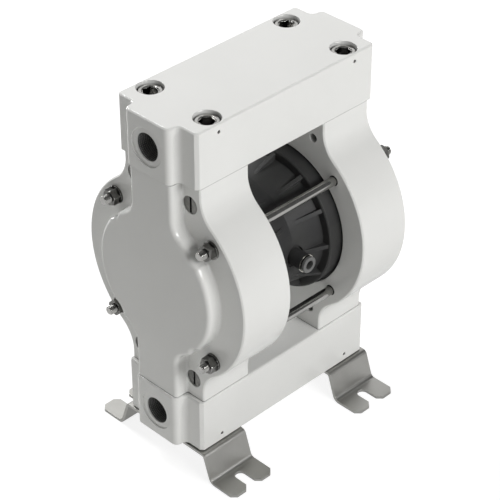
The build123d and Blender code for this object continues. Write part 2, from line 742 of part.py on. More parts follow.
# Air valve: sleeve with ports, spool with its rings, and two end caps
with BuildPart() as spool_sleeve:
    with BuildSketch(end_plane(1, -sleeve_half_length)):
        with Locations((0, spool_rise)):
            Circle(sleeve_radius)
            Circle(spool_radius + running_fit, mode=Mode.SUBTRACT)
    extrude(amount=2 * sleeve_half_length)
    with BuildSketch(side_plane(-2 * sleeve_radius, 1)):
        with Locations((0, -spool_rise)):
            Circle(gallery_radius)
    extrude(amount=4 * sleeve_radius, mode=Mode.SUBTRACT)
    with BuildSketch(level_plane(axis_z + spool_rise)):
        with Locations((chamber_port_x, 0), (-chamber_port_x, 0)):
            Circle(chamber_port_radius)
    extrude(amount=2 * sleeve_radius, mode=Mode.SUBTRACT)
spool_sleeve.part.label = "spool_sleeve"
export_step(spool_sleeve.part, "parts/spool_sleeve.step")

with BuildPart() as valve_end_caps:
    for side in sides.values():
        with BuildSketch(end_plane(side, sleeve_half_length)):
            with Locations((0, spool_rise)):
                Circle(sleeve_radius)
        extrude(amount=cap_length)
valve_end_caps.part.label = "valve_end_caps"
export_step(valve_end_caps.part, "parts/valve_end_caps.step")

with BuildPart() as main_spool:
    with BuildSketch(end_plane(1, -spool_half_length)):
        with Locations((0, spool_rise)):
            Circle(spool_waist_radius)
    extrude(amount=2 * spool_half_length)
    for land_x in (-spool_half_length, -spool_land / 2, spool_half_length - spool_land):
        with BuildSketch(end_plane(1, land_x)):
            with Locations((0, spool_rise)):
                Circle(spool_radius)
        extrude(amount=spool_land)
        with BuildSketch(end_plane(1, land_x + (spool_land - spool_ring_width) / 2)):
            with Locations((0, spool_rise)):
                Circle(spool_radius)
                Circle(spool_radius - spool_ring_width, mode=Mode.SUBTRACT)
        extrude(amount=spool_ring_width, mode=Mode.SUBTRACT)
main_spool.part.label = "main_spool"
export_step(main_spool.part, "parts/main_spool.step")

with BuildPart() as spool_rings:
    for land_x in (-spool_half_length, -spool_land / 2, spool_half_length - spool_land):
        with BuildSketch(end_plane(1, land_x + (spool_land - spool_ring_width) / 2)):
            with Locations((0, spool_rise)):
                Circle(spool_radius)
                Circle(spool_radius - spool_ring_width, mode=Mode.SUBTRACT)
        extrude(amount=spool_ring_width)
spool_rings.part.label = "spool_rings"
export_step(spool_rings.part, "parts/spool_rings.step")

# Pilot piston: the plates push its ends, and its collar stops against the bushes
with BuildPart() as pilot_piston:
    with BuildSketch(end_plane(1, -pilot_end_x)):
        with Locations((0, -pilot_drop)):
            Circle(pilot_radius)
    extrude(amount=2 * pilot_end_x)
    chamfer(pilot_piston.edges().filter_by(GeomType.CIRCLE), edge_break / 2)
    with BuildSketch(end_plane(1, -pilot_collar_half)):
        with Locations((0, -pilot_drop)):
            Circle(pilot_collar_radius)
    extrude(amount=2 * pilot_collar_half)
pilot_piston.part.label = "pilot_piston"
export_step(pilot_piston.part, "parts/pilot_piston.step")

with BuildPart() as pilot_bushes:
    for side in sides.values():
        with BuildSketch(end_plane(side, pilot_bush_inner_x)):
            with Locations((0, -pilot_drop)):
                Circle(pilot_bush_radius)
                Circle(pilot_radius + running_fit, mode=Mode.SUBTRACT)
        extrude(amount=dish_floor_x - pilot_bush_inner_x)
pilot_bushes.part.label = "pilot_bushes"
export_step(pilot_bushes.part, "parts/pilot_bushes.step")

# Air inlet: a push-in fitting with a metal cap ring and a release collet
with BuildPart() as air_fitting_body:
    with BuildSketch(side_plane(-seat_flat_y, -1)):
        Circle(fitting_radius)
    extrude(amount=fitting_end_y - seat_flat_y - fitting_cap_height)
    with BuildSketch(side_plane(-seat_flat_y, 1)):
        Circle(fitting_thread_radius)
    extrude(amount=fitting_thread_length)
    with BuildSketch(side_plane(-fitting_end_y, 1)):
        Circle(collet_stem_radius + running_fit)
    extrude(amount=collet_stem_length + stop_gap, mode=Mode.SUBTRACT)
    with BuildSketch(side_plane(-fitting_end_y, 1)):
        Circle(tube_radius)
    extrude(amount=collet_stem_length + socket_length, mode=Mode.SUBTRACT)
    with BuildSketch(side_plane(-fitting_end_y, 1)):
        Circle(fitting_bore)
    extrude(amount=fitting_end_y, mode=Mode.SUBTRACT)
air_fitting_body.part.label = "air_fitting_body"
export_step(air_fitting_body.part, "parts/air_fitting_body.step")

with BuildPart() as fitting_cap_ring:
    with BuildSketch(side_plane(-fitting_end_y, 1)):
        Circle(fitting_cap_radius)
        Circle(collet_stem_radius + running_fit, mode=Mode.SUBTRACT)
    extrude(amount=fitting_cap_height)
fitting_cap_ring.part.label = "fitting_cap_ring"
export_step(fitting_cap_ring.part, "parts/fitting_cap_ring.step")

with BuildPart() as fitting_collet:
    with BuildSketch(side_plane(-collet_face_y, 1)):
        Circle(collet_radius)
    extrude(amount=collet_face_y - collet_head_y)
    fillet(fitting_collet.edges().group_by(Axis.Y)[0], edge_break / 2)
    with BuildSketch(side_plane(-collet_head_y, 1)):
        Circle(collet_stem_radius)
    extrude(amount=collet_stem_length)
    with BuildSketch(side_plane(-collet_face_y, 1)):
        Circle(tube_radius)
    extrude(amount=collet_face_y, mode=Mode.SUBTRACT)
fitting_collet.part.label = "fitting_collet"
export_step(fitting_collet.part, "parts/fitting_collet.step")

# Exhaust silencer: hexagon foot and a porous cylinder with a round end
with BuildPart() as silencer:
    with BuildSketch(side_plane(seat_flat_y, 1)):
        RegularPolygon(silencer_hex / 2, 6, major_radius=False)
    extrude(amount=silencer_hex_height)
    with BuildSketch(side_plane(seat_flat_y + silencer_hex_height, 1)):
        Circle(silencer_radius)
    extrude(amount=silencer_length)
    fillet(silencer.edges().group_by(Axis.Y)[-1], silencer_dome)
    with BuildSketch(side_plane(seat_flat_y, -1)):
        Circle(silencer_thread_radius)
    extrude(amount=silencer_thread_length)
    with BuildSketch(side_plane(0, 1)):
        Circle(silencer_bore)
    extrude(amount=seat_flat_y + silencer_hex_height + silencer_length - silencer_bore, mode=Mode.SUBTRACT)
silencer.part.label = "exhaust_silencer"
export_step(silencer.part, "parts/exhaust_silencer.step")

# Ball valves: seat ring below, ball on it, and a cage with a stop bar above
for name, base_z in (("inlet", inlet_top_z), ("outlet", outlet_bottom_z - valve_stack)):
    seat_top_z = base_z + seat_height
    with BuildPart() as seats:
        for side in sides.values():
            with BuildSketch(level_plane(base_z)):
                with Locations((side * valve_x, 0)):
                    Circle(valve_pocket_radius - valve_fit)
            extrude(amount=seat_height)
            with BuildSketch(level_plane(base_z)):
                with Locations((side * valve_x, 0)):
                    Circle(seat_bore_radius)
            extrude(amount=seat_height, mode=Mode.SUBTRACT)
            mouth = seats.edges().filter_by(GeomType.CIRCLE).group_by(Axis.Z)[-1]
            chamfer(mouth.group_by(SortBy.RADIUS)[0], seat_cone)
    seats.part.label = f"{name}_valve_seats"
    export_step(seats.part, f"parts/{name}_valve_seats.step")

    with BuildPart() as cages:
        for side in sides.values():
            with BuildSketch(level_plane(seat_top_z)):
                with Locations((side * valve_x, 0)):
                    Circle(valve_pocket_radius - valve_fit)
                    Circle(valve_pocket_radius - valve_fit - cage_wall, mode=Mode.SUBTRACT)
            extrude(amount=cage_height)
            with BuildSketch(level_plane(seat_top_z)):
                with Locations((side * valve_x, 0)):
                    Rectangle(2 * valve_pocket_radius - cage_wall, cage_rib_width)
                    Rectangle(cage_rib_width, 2 * valve_pocket_radius - cage_wall)
                    Circle(ball_radius + cage_rib_gap, mode=Mode.SUBTRACT)
            extrude(amount=cage_height)
            with BuildSketch(level_plane(seat_top_z + cage_height - cage_stop_height)):
                with Locations((side * valve_x, 0)):
                    Rectangle(2 * valve_pocket_radius - cage_wall, cage_bar_width)
            extrude(amount=cage_stop_height)
    cages.part.label = f"{name}_ball_cages"
    export_step(cages.part, f"parts/{name}_ball_cages.step")

    for side_name, side in sides.items():
        with BuildPart() as ball:
            with Locations((side * valve_x, 0, seat_top_z + ball_rise)):
                Sphere(ball_radius)
        ball.part.label = f"{side_name}_{name}_ball"
        export_step(ball.part, f"parts/{side_name}_{name}_ball.step")

# Seal rings between the manifolds and the housings
for name, joint_z, up in (("outlet", outlet_bottom_z, 1), ("inlet", inlet_top_z, -1)):
    with BuildPart() as rings:
        with Locations(*[(side * valve_x, 0, joint_z + up * ring_groove / 2) for side in sides.values()]):
            Torus(ring_radius, ring_section)
    rings.part.label = f"{name}_joint_rings"
    export_step(rings.part, f"parts/{name}_joint_rings.step")

    # Plug in the far port of the same manifold
    with BuildPart() as plug:
        plug_x = manifold_half + boss_reach - port_face_depth
        port_z = joint_z + up * manifold_height / 2
        with BuildSketch(Plane(origin=(plug_x, 0, port_z), z_dir=(1, 0, 0))):
            Circle(plug_radius)
        extrude(amount=-(port_depth - edge_break))
        chamfer(plug.edges().group_by(Axis.X)[-1], edge_break / 2)
        with BuildSketch(Plane(origin=(plug_x, 0, port_z), z_dir=(1, 0, 0))):
            RegularPolygon(plug_hex / 2, 6, major_radius=False)
        extrude(amount=-plug_hex_depth, mode=Mode.SUBTRACT)
    plug.part.label = f"{name}_port_plug"
    export_step(plug.part, f"parts/{name}_port_plug.step")
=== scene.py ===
"""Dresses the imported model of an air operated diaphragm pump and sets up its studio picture.

All lengths are metres in the frame of the CAD model: X runs along the diaphragm shaft, Z is up
and the pump stands on the floor at Z 0.
"""

import logging
import math
from dataclasses import dataclass, field
from enum import Enum

import bmesh
import bpy
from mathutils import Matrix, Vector


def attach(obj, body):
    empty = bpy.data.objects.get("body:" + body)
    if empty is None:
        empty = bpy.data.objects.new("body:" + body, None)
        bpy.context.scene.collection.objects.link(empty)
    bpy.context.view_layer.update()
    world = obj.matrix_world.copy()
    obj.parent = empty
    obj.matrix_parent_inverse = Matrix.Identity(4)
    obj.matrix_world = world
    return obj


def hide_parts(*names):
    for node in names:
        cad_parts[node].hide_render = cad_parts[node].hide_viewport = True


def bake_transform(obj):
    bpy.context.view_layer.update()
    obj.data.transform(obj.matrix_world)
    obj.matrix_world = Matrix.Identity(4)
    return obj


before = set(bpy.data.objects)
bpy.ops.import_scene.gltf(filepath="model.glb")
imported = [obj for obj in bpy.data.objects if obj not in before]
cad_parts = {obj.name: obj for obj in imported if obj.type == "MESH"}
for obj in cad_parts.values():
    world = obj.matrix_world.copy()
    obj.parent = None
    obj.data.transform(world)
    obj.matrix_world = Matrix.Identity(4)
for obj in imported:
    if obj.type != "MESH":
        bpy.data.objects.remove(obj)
log = logging.getLogger("pump")

MM = 0.001
SHAFT_HEIGHT = 185 * MM
SMOOTH_BELOW = math.radians(40)
VALUE = "NodeSocketFloat"
COLOUR = "NodeSocketColor"
VECTOR = "NodeSocketVector"

Colour = tuple[float, float, float]
Sockets = tuple[tuple[str, str], ...]
Point = tuple[float, float, float]
Socket = bpy.types.NodeSocket


class Slot(Enum):
    """Material slots of the record."""

    PALE_PLASTIC = "pale_plastic"
    BLACK_PLASTIC = "black_plastic"
    STAINLESS_SHEET = "stainless_sheet"
    STAINLESS_FASTENER = "stainless_fastener"
    NICKEL_RING = "nickel_ring"
    COLLET_GREY = "collet_grey"
    DIAPHRAGM_WHITE = "diaphragm_white"
    SEAL_BLACK = "seal_black"
    BALL_WHITE = "ball_white"
    VALVE_PLASTIC = "valve_plastic"
    SHAFT_STEEL = "shaft_steel"
    PLATE_ALUMINIUM = "plate_aluminium"
    BUSH_PLASTIC = "bush_plastic"
    SILENCER_PLASTIC = "silencer_plastic"


class Lay(Enum):
    """Direction that the tool or the belt left its marks in."""

    ALONG_SHEET = "along_sheet"
    ROUND_SHAFT = "round_shaft"
    TUMBLED = "tumbled"


class Body(Enum):
    """Rigid bodies that a scene piece may ride on."""

    PUMP = "pump"
    SHAFT = "shaft"


@dataclass
class Wiring:
    """Adds and joins nodes in one shader tree, from left to right.

    Args:
        tree: The tree of a material, of the world or of a node group.
        column: Distance between nodes, for whoever opens the tree.
    """

    tree: bpy.types.NodeTree
    column: float = 220.0

    def add(self, kind: str, **settings: object) -> bpy.types.Node:
        """Adds a node.

        Args:
            kind: The node's type name.
            settings: Attributes to set on the node.

        Returns:
            The new node.
        """
        node = self.tree.nodes.new(kind)
        node.location = (len(self.tree.nodes) * self.column, 0.0)
        for name, value in settings.items():
            setattr(node, name, value)
        return node

    def feed(self, target: Socket, value: object) -> None:
        """Joins a socket to the target, or sets the target's own value.

        Args:
            target: The input socket.
            value: A socket, a number or a colour.
        """
        if isinstance(value, bpy.types.NodeSocket):
            self.tree.links.new(value, target)
        elif isinstance(value, tuple) and target.type == "RGBA":
            target.default_value = (*value, 1.0)
        else:
            target.default_value = value

    def place(self) -> Socket:
        """Returns the position on the object, in metres."""
        return self.add("ShaderNodeTexCoord").outputs["Object"]

    def noise(self, place: Socket, scale: object, detail: float = 2.0) -> Socket:
        """Adds a noise texture.

        Args:
            place: The texture's coordinates.
            scale: Lumps per metre, a number or a socket.
            detail: Octaves of finer noise on top.

        Returns:
            The noise value, from 0 to 1.
        """
        node = self.add("ShaderNodeTexNoise")
        self.feed(node.inputs["Vector"], place)
        self.feed(node.inputs["Scale"], scale)
        self.feed(node.inputs["Detail"], detail)
        return node.outputs[0]

    def math(self, operation: str, *values: object) -> Socket:
        """Adds a math node and returns its result.

        Args:
            operation: The node's operation.
            values: Numbers or sockets for its inputs.

        Returns:
            The result.
        """
        node = self.add("ShaderNodeMath", operation=operation)
        for target, value in zip(node.inputs, values):
            self.feed(target, value)
        return node.outputs[0]

    def vector_math(self, operation: str, *values: object) -> bpy.types.Node:
        """Adds a vector math node and returns it.

        Args:
            operation: The node's operation.
            values: Vectors or sockets for its inputs.

        Returns:
            The node, because its result may be a vector or a number.
        """
        node = self.add("ShaderNodeVectorMath", operation=operation)
        for target, value in zip(node.inputs, values):
            self.feed(target, value)
        return node

    def spread(self, value: Socket, low: object, high: object,
               start: object = 0.3, end: object = 0.7) -> Socket:
        """Maps a value that lies mostly between start and end onto low to high.

        Args:
            value: The value.
            low: The result at start.
            high: The result at end.
            start: Where the low end lies.
            end: Where the high end lies.

        Returns:
            The mapped value.
        """
        node = self.add("ShaderNodeMapRange")
        self.feed(node.inputs["Value"], value)
        self.feed(node.inputs["From Min"], start)
        self.feed(node.inputs["From Max"], end)
        self.feed(node.inputs["To Min"], low)
        self.feed(node.inputs["To Max"], high)
        return node.outputs["Result"]

    def blend(self, share: object, first: object, second: object) -> Socket:
        """Mixes two colours.

        Args:
            share: How much of the second colour shows, from 0 to 1.
            first: The first colour.
            second: The second colour.

        Returns:
            The mixed colour.
        """
        node = self.add("ShaderNodeMix", data_type="RGBA")
        self.feed(node.inputs[0], share)
        self.feed(node.inputs[6], first)
        self.feed(node.inputs[7], second)
        return node.outputs[2]

    def mix_shaders(self, share: Socket, first: bpy.types.Node, second: bpy.types.Node) -> bpy.types.Node:
        """Mixes two shaders.

        Args:
            share: How much of the second shader shows, from 0 to 1.
            first: The first shader.
            second: The second shader.

        Returns:
            The node of the mixed shader.
        """
        node = self.add("ShaderNodeMixShader")
        self.feed(node.inputs[0], share)
        self.feed(node.inputs[1], first.outputs[0])
        self.feed(node.inputs[2], second.outputs[0])
        return node

    def component(self, vector: Socket, axis: str) -> Socket:
        """Returns one component of a vector.

        Args:
            vector: The vector.
            axis: Its axis, X, Y or Z.

        Returns:
            The component.
        """
        split = self.add("ShaderNodeSeparateXYZ")
        self.feed(split.inputs[0], vector)
        return split.outputs[axis]


def fresh_wiring(owner: bpy.types.Material | bpy.types.World) -> Wiring:
    """Empties the node tree of a material or of the world.

    Args:
        owner: The material or the world.

    Returns:
        The wiring of its tree.
    """
    owner.use_nodes = True
    owner.node_tree.nodes.clear()
    return Wiring(owner.node_tree)


def linked(name: str, data: bpy.types.ID) -> bpy.types.Object:
    """Makes an object of a mesh, a lamp or a camera.

    Args:
        name: The object's name.
        data: The mesh, the lamp or the camera.

    Returns:
        The object, linked to the scene.
    """
    made = bpy.data.objects.new(name, data)
    bpy.context.scene.collection.objects.link(made)
    return made


@dataclass(frozen=True)
class Effect:
    """A surface effect that several finishes share, as a node group.

    Args:
        name: The group's name.
        inputs: Name and socket type of each input.
        outputs: Name and socket type of each output.
    """

    name: str
    inputs: Sockets
    outputs: Sockets

    def wire(self, wiring: Wiring, given: bpy.types.Node, result: bpy.types.Node) -> None:
        """Wires the inside of the group, from its input node to its output node."""
        raise NotImplementedError

    def group(self) -> bpy.types.NodeTree:
        """Builds the node group on first use.

        Returns:
            The group's tree.
        """
        found = bpy.data.node_groups.get(self.name)
        if found:
            return found
        tree = bpy.data.node_groups.new(self.name, "ShaderNodeTree")
        for direction, sockets in (("INPUT", self.inputs), ("OUTPUT", self.outputs)):
            for name, kind in sockets:
                tree.interface.new_socket(name=name, in_out=direction, socket_type=kind)
        wiring = Wiring(tree)
        given = wiring.add("NodeGroupInput")
        result = wiring.add("NodeGroupOutput")
        self.wire(wiring, given, result)
        return tree

    def use(self, wiring: Wiring, **values: object) -> bpy.types.Node:
        """Places the group in a material.

        Args:
            wiring: The material's wiring.
            values: The inputs by name, with _ for a space.

        Returns:
            The group node.
        """
        node = wiring.add("ShaderNodeGroup", node_tree=self.group())
        for name, value in values.items():
            wiring.feed(node.inputs[name.replace("_", " ")], value)
        return node


@dataclass(frozen=True)
class ToneDrift(Effect):
    """Slow change of colour over the surface, as in a cast block or a rolled sheet."""

    name: str = "tone_drift"
    inputs: Sockets = (("Base", COLOUR), ("Tint", COLOUR), ("Patches", VALUE))
    outputs: Sockets = (("Color", COLOUR),)

    def wire(self, wiring: Wiring, given: bpy.types.Node, result: bpy.types.Node) -> None:
        """Wires the inside of the group.

        Args:
            wiring: The group's wiring.
            given: The group's input node.
            result: The group's output node.
        """
        patches = wiring.noise(wiring.place(), given.outputs["Patches"], detail=3.0)
        share = wiring.spread(patches, 0.0, 1.0)
        colour = wiring.blend(share, given.outputs["Base"], given.outputs["Tint"])
        wiring.feed(result.inputs["Color"], colour)


@dataclass(frozen=True)
class SurfaceGrain(Effect):
    """Fine grain over a slow waviness, as a mould or a milling cutter leaves it."""

    name: str = "surface_grain"
    inputs: Sockets = (("Grains", VALUE), ("Waves", VALUE), ("Wave Share", VALUE))
    outputs: Sockets = (("Height", VALUE), ("Mask", VALUE))

    def wire(self, wiring: Wiring, given: bpy.types.Node, result: bpy.types.Node) -> None:
        """Wires the inside of the group.

        Args:
            wiring: The group's wiring.
            given: The group's input node.
            result: The group's output node.
        """
        place = wiring.place()
        grains = wiring.noise(place, given.outputs["Grains"])
        waves = wiring.noise(place, given.outputs["Waves"], detail=1.0)
        raised = wiring.math("MULTIPLY", waves, given.outputs["Wave Share"])
        wiring.feed(result.inputs["Height"], wiring.math("ADD", grains, raised))
        wiring.feed(result.inputs["Mask"], wiring.spread(grains, 0.0, 1.0))


@dataclass(frozen=True)
class ToolLines(Effect):
    """Long fine scratches in one direction, from rolling, grinding or turning."""

    name: str = "tool_lines"
    inputs: Sockets = (("Stretch", VECTOR),)
    outputs: Sockets = (("Height", VALUE), ("Mask", VALUE))

    def wire(self, wiring: Wiring, given: bpy.types.Node, result: bpy.types.Node) -> None:
        """Wires the inside of the group.

        Args:
            wiring: The group's wiring.
            given: The group's input node.
            result: The group's output node.
        """
        drawn = wiring.vector_math("MULTIPLY", wiring.place(), given.outputs["Stretch"]).outputs[0]
        lines = wiring.noise(drawn, scale=1.0, detail=4.0)
        wiring.feed(result.inputs["Height"], lines)
        wiring.feed(result.inputs["Mask"], wiring.spread(lines, 0.0, 1.0))


@dataclass(frozen=True)
class TurnedRings(Effect):
    """Rings of a lathe tool round the shaft axis."""

    name: str = "turned_rings"
    inputs: Sockets = (("Axis", VECTOR), ("Rings", VALUE))
    outputs: Sockets = (("Height", VALUE), ("Mask", VALUE))

    def wire(self, wiring: Wiring, given: bpy.types.Node, result: bpy.types.Node) -> None:
        """Wires the inside of the group.

        Args:
            wiring: The group's wiring.
            given: The group's input node.
            result: The group's output node.
        """
        place = wiring.place()
        from_axis = wiring.vector_math("SUBTRACT", place, given.outputs["Axis"]).outputs[0]
        across = wiring.vector_math("MULTIPLY", from_axis, (0.0, 1.0, 1.0)).outputs[0]
        radius = wiring.vector_math("LENGTH", across).outputs["Value"]
        joined = wiring.add("ShaderNodeCombineXYZ")
        wiring.feed(joined.inputs["X"], radius)
        wiring.feed(joined.inputs["Y"], wiring.component(place, "X"))
        rings = wiring.noise(joined.outputs[0], given.outputs["Rings"], detail=1.0)
        wiring.feed(result.inputs["Height"], rings)
        wiring.feed(result.inputs["Mask"], wiring.spread(rings, 0.0, 1.0))


@dataclass(frozen=True)
class EdgeScuffAndHighlight(Effect):
    """A softened edge, and a mask of where handling has scuffed it and of its painted highlight."""

    name: str = "edge_scuff_and_highlight"
    inputs: Sockets = (("Width", VALUE), ("Breaks", VALUE))
    outputs: Sockets = (("Mask", VALUE), ("Normal", VECTOR))

    def wire(self, wiring: Wiring, given: bpy.types.Node, result: bpy.types.Node) -> None:
        """Wires the inside of the group.

        Args:
            wiring: The group's wiring.
            given: The group's input node.
            result: The group's output node.
        """
        rounded = wiring.add("ShaderNodeBevel", samples=4)
        wiring.feed(rounded.inputs["Radius"], given.outputs["Width"])
        flat = wiring.add("ShaderNodeNewGeometry").outputs["Normal"]
        agree = wiring.vector_math("DOT_PRODUCT", rounded.outputs[0], flat).outputs["Value"]
        edge = wiring.spread(agree, 1.0, 0.0, start=0.90, end=0.995)
        patches = wiring.noise(wiring.place(), given.outputs["Breaks"])
        broken = wiring.spread(patches, 0.35, 1.0, start=0.35, end=0.6)
        # The mask marks scuffing and a painted highlight alike along the edge.
        wiring.feed(result.inputs["Mask"], wiring.math("MULTIPLY", edge, broken))
        wiring.feed(result.inputs["Normal"], rounded.outputs[0])


@dataclass(frozen=True)
class PaintedHoleShade(Effect):
    """A mask of deep holes and narrow gaps, where shade is painted because little light reaches them."""

    name: str = "painted_hole_shade"
    inputs: Sockets = (("Reach", VALUE), ("Open", VALUE))
    outputs: Sockets = (("Mask", VALUE),)

    def wire(self, wiring: Wiring, given: bpy.types.Node, result: bpy.types.Node) -> None:
        """Wires the inside of the group.

        Args:
            wiring: The group's wiring.
            given: The group's input node.
            result: The group's output node.
        """
        openness = wiring.add("ShaderNodeAmbientOcclusion", samples=6)
        wiring.feed(openness.inputs["Distance"], given.outputs["Reach"])
        closed = wiring.spread(openness.outputs["AO"], 1.0, 0.0, start=0.08, end=given.outputs["Open"])
        wiring.feed(result.inputs["Mask"], closed)


@dataclass(frozen=True)
class JointLine(Effect):
    """A mask of the fine dark line where blocks meet at a level joint, darkest on faces along X."""

    name: str = "joint_line"
    inputs: Sockets = (("Lower", VALUE), ("Upper", VALUE), ("Width", VALUE))
    outputs: Sockets = (("Mask", VALUE),)

    def wire(self, wiring: Wiring, given: bpy.types.Node, result: bpy.types.Node) -> None:
        """Wires the inside of the group.

        Args:
            wiring: The group's wiring.
            given: The group's input node.
            result: The group's output node.
        """
        height = wiring.component(wiring.place(), "Z")
        off_lower = wiring.math("ABSOLUTE", wiring.math("SUBTRACT", height, given.outputs["Lower"]))
        off_upper = wiring.math("ABSOLUTE", wiring.math("SUBTRACT", height, given.outputs["Upper"]))
        nearest = wiring.math("MINIMUM", off_lower, off_upper)
        near = wiring.math("LESS_THAN", nearest, given.outputs["Width"])
        facing = wiring.add("ShaderNodeNewGeometry").outputs["True Normal"]
        level = wiring.math("ABSOLUTE", wiring.component(facing, "Z"))
        along = wiring.math("ABSOLUTE", wiring.component(facing, "X"))
        upright = wiring.spread(level, 1.0, 0.0, start=0.4, end=0.8)
        endways = wiring.spread(along, 0.55, 1.0, start=0.4, end=0.9)
        line = wiring.math("MULTIPLY", near, wiring.math("MULTIPLY", upright, endways))
        wiring.feed(result.inputs["Mask"], line)


TONE_DRIFT = ToneDrift()
SURFACE_GRAIN = SurfaceGrain()
TOOL_LINES = ToolLines()
TURNED_RINGS = TurnedRings()
EDGE_SCUFF_AND_HIGHLIGHT = EdgeScuffAndHighlight()
PAINTED_HOLE_SHADE = PaintedHoleShade()
JOINT_LINE = JointLine()


@dataclass(frozen=True)
class Finish:
    """What every finish has: two tones, a span of roughness, edges with scuffing and a painted highlight,
    and painted shade in deep holes.

    Args:
        slot: The record's material slot.
        colour: The main tone.
        tint: The tone that it drifts towards.
        patch: Size of the drift's patches, in metres.
        smoothest: Roughness of the smoothest spots.
        roughest: Roughness of the roughest spots.
        edge: Width of the softened edge, in metres.
        scuff_and_highlight_tone: The tone of a scuffed edge, which also paints the edge's highlight.
        scuff_and_highlight_share: How much of that tone shows on an edge, from 0 to 1.
        breaks: Breaks in an edge's scuffing and highlight for each patch of the drift.
        reach: Width of the holes and gaps that count as deep, in metres.
        hole_shade_strength: How dark the painted shade in them is, from 0 to 1.
        open_at: Share of open sky above which no shade is painted.
        shade_and_joint_tone: The tone of the painted shade there, and of a joined block's dark joint
            lines.
        name: The material's name, where a slot has more than one finish.
    """

    slot: Slot
    colour: Colour
    tint: Colour
    patch: float
    smoothest: float
    roughest: float
    edge: float
    scuff_and_highlight_tone: Colour
    scuff_and_highlight_share: float
    breaks: float = 0.4
    reach: float = 20 * MM
    hole_shade_strength: float = 0.9
    open_at: float = 0.42
    shade_and_joint_tone: Colour = (0.02, 0.02, 0.019)
    name: str = ""

    def relief(self, wiring: Wiring) -> tuple[Socket, Socket, float]:
        """Returns the relief's height, a mask that follows it, and its depth in metres."""
        raise NotImplementedError

    def settle(self, shader: bpy.types.Node) -> None:
        """Sets what is the same all over the surface, on the Principled shader."""

    def overlay(self, wiring: Wiring, colour: Socket) -> Socket:
        """Returns the colour with what is drawn over it, which is nothing on most finishes."""
        return colour

    def material(self) -> bpy.types.Material:
        """Makes the finish.

        Returns:
            The Blender material.
        """
        made = bpy.data.materials.new(self.name or f"{self.slot.value}_finish")
        made.diffuse_color = (*self.colour, 1.0)
        wiring = fresh_wiring(made)
        drift = TONE_DRIFT.use(wiring, Base=self.colour, Tint=self.tint, Patches=1.0 / self.patch)
        scuffed_lit_edge = EDGE_SCUFF_AND_HIGHLIGHT.use(wiring, Width=self.edge, Breaks=self.breaks / self.patch)
        height, mask, depth = self.relief(wiring)
        # Edges take the edge tone: scuffing, and a painted highlight.
        scuff_and_highlight_mask = wiring.math("MULTIPLY", scuffed_lit_edge.outputs["Mask"], self.scuff_and_highlight_share)
        colour = wiring.blend(scuff_and_highlight_mask, drift.outputs["Color"], self.scuff_and_highlight_tone)
        # Painted shade: deep holes and narrow gaps darken towards the shade tone.
        recess = PAINTED_HOLE_SHADE.use(wiring, Reach=self.reach, Open=self.open_at)
        shade = wiring.math("MULTIPLY", recess.outputs["Mask"], self.hole_shade_strength)
        colour = wiring.blend(shade, colour, self.shade_and_joint_tone)
        colour = self.overlay(wiring, colour)
        roughness = wiring.spread(mask, self.smoothest, self.roughest, start=0.0, end=1.0)
        bump = wiring.add("ShaderNodeBump")
        wiring.feed(bump.inputs["Distance"], depth)
        wiring.feed(bump.inputs["Height"], height)
        wiring.feed(bump.inputs["Normal"], scuffed_lit_edge.outputs["Normal"])
        shader = wiring.add("ShaderNodeBsdfPrincipled")
        wiring.feed(shader.inputs["Base Color"], colour)
        wiring.feed(shader.inputs["Roughness"], roughness)
        wiring.feed(shader.inputs["Normal"], bump.outputs["Normal"])
        self.settle(shader)
        output = wiring.add("ShaderNodeOutputMaterial")
        wiring.feed(output.inputs["Surface"], shader.outputs["BSDF"])
        return made


@dataclass(frozen=True)
class Plastic(Finish):
    """Plastic or rubber with a fine grain.

    Args:
        grain: Size of the grains, in metres.
        depth: Depth of the grain, in metres.
        wave: Size of the slow waves, in metres.
        wave_share: Height of the waves as a multiple of the grain's.
        refraction: Index of refraction.
        gloss: Strength of the surface reflection, where 0.5 is that of clean plastic.
    """

    grain: float = 0.5 * MM
    depth: float = 0.01 * MM
    wave: float = 25 * MM
    wave_share: float = 1.0
    refraction: float = 1.49
    gloss: float = 0.5

    def relief(self, wiring: Wiring) -> tuple[Socket, Socket, float]:
        """Builds the surface grain.

        Args:
            wiring: The material's wiring.

        Returns:
            The height, a mask that follows it, and the depth of the relief in metres.
        """
        grain = SURFACE_GRAIN.use(wiring, Grains=1.0 / self.grain, Waves=1.0 / self.wave,
                                  Wave_Share=self.wave_share)
        return grain.outputs["Height"], grain.outputs["Mask"], self.depth

    def settle(self, shader: bpy.types.Node) -> None:
        """Sets what is the same all over the surface, on the Principled shader."""
        shader.inputs["IOR"].default_value = self.refraction
        shader.inputs["Specular IOR Level"].default_value = self.gloss


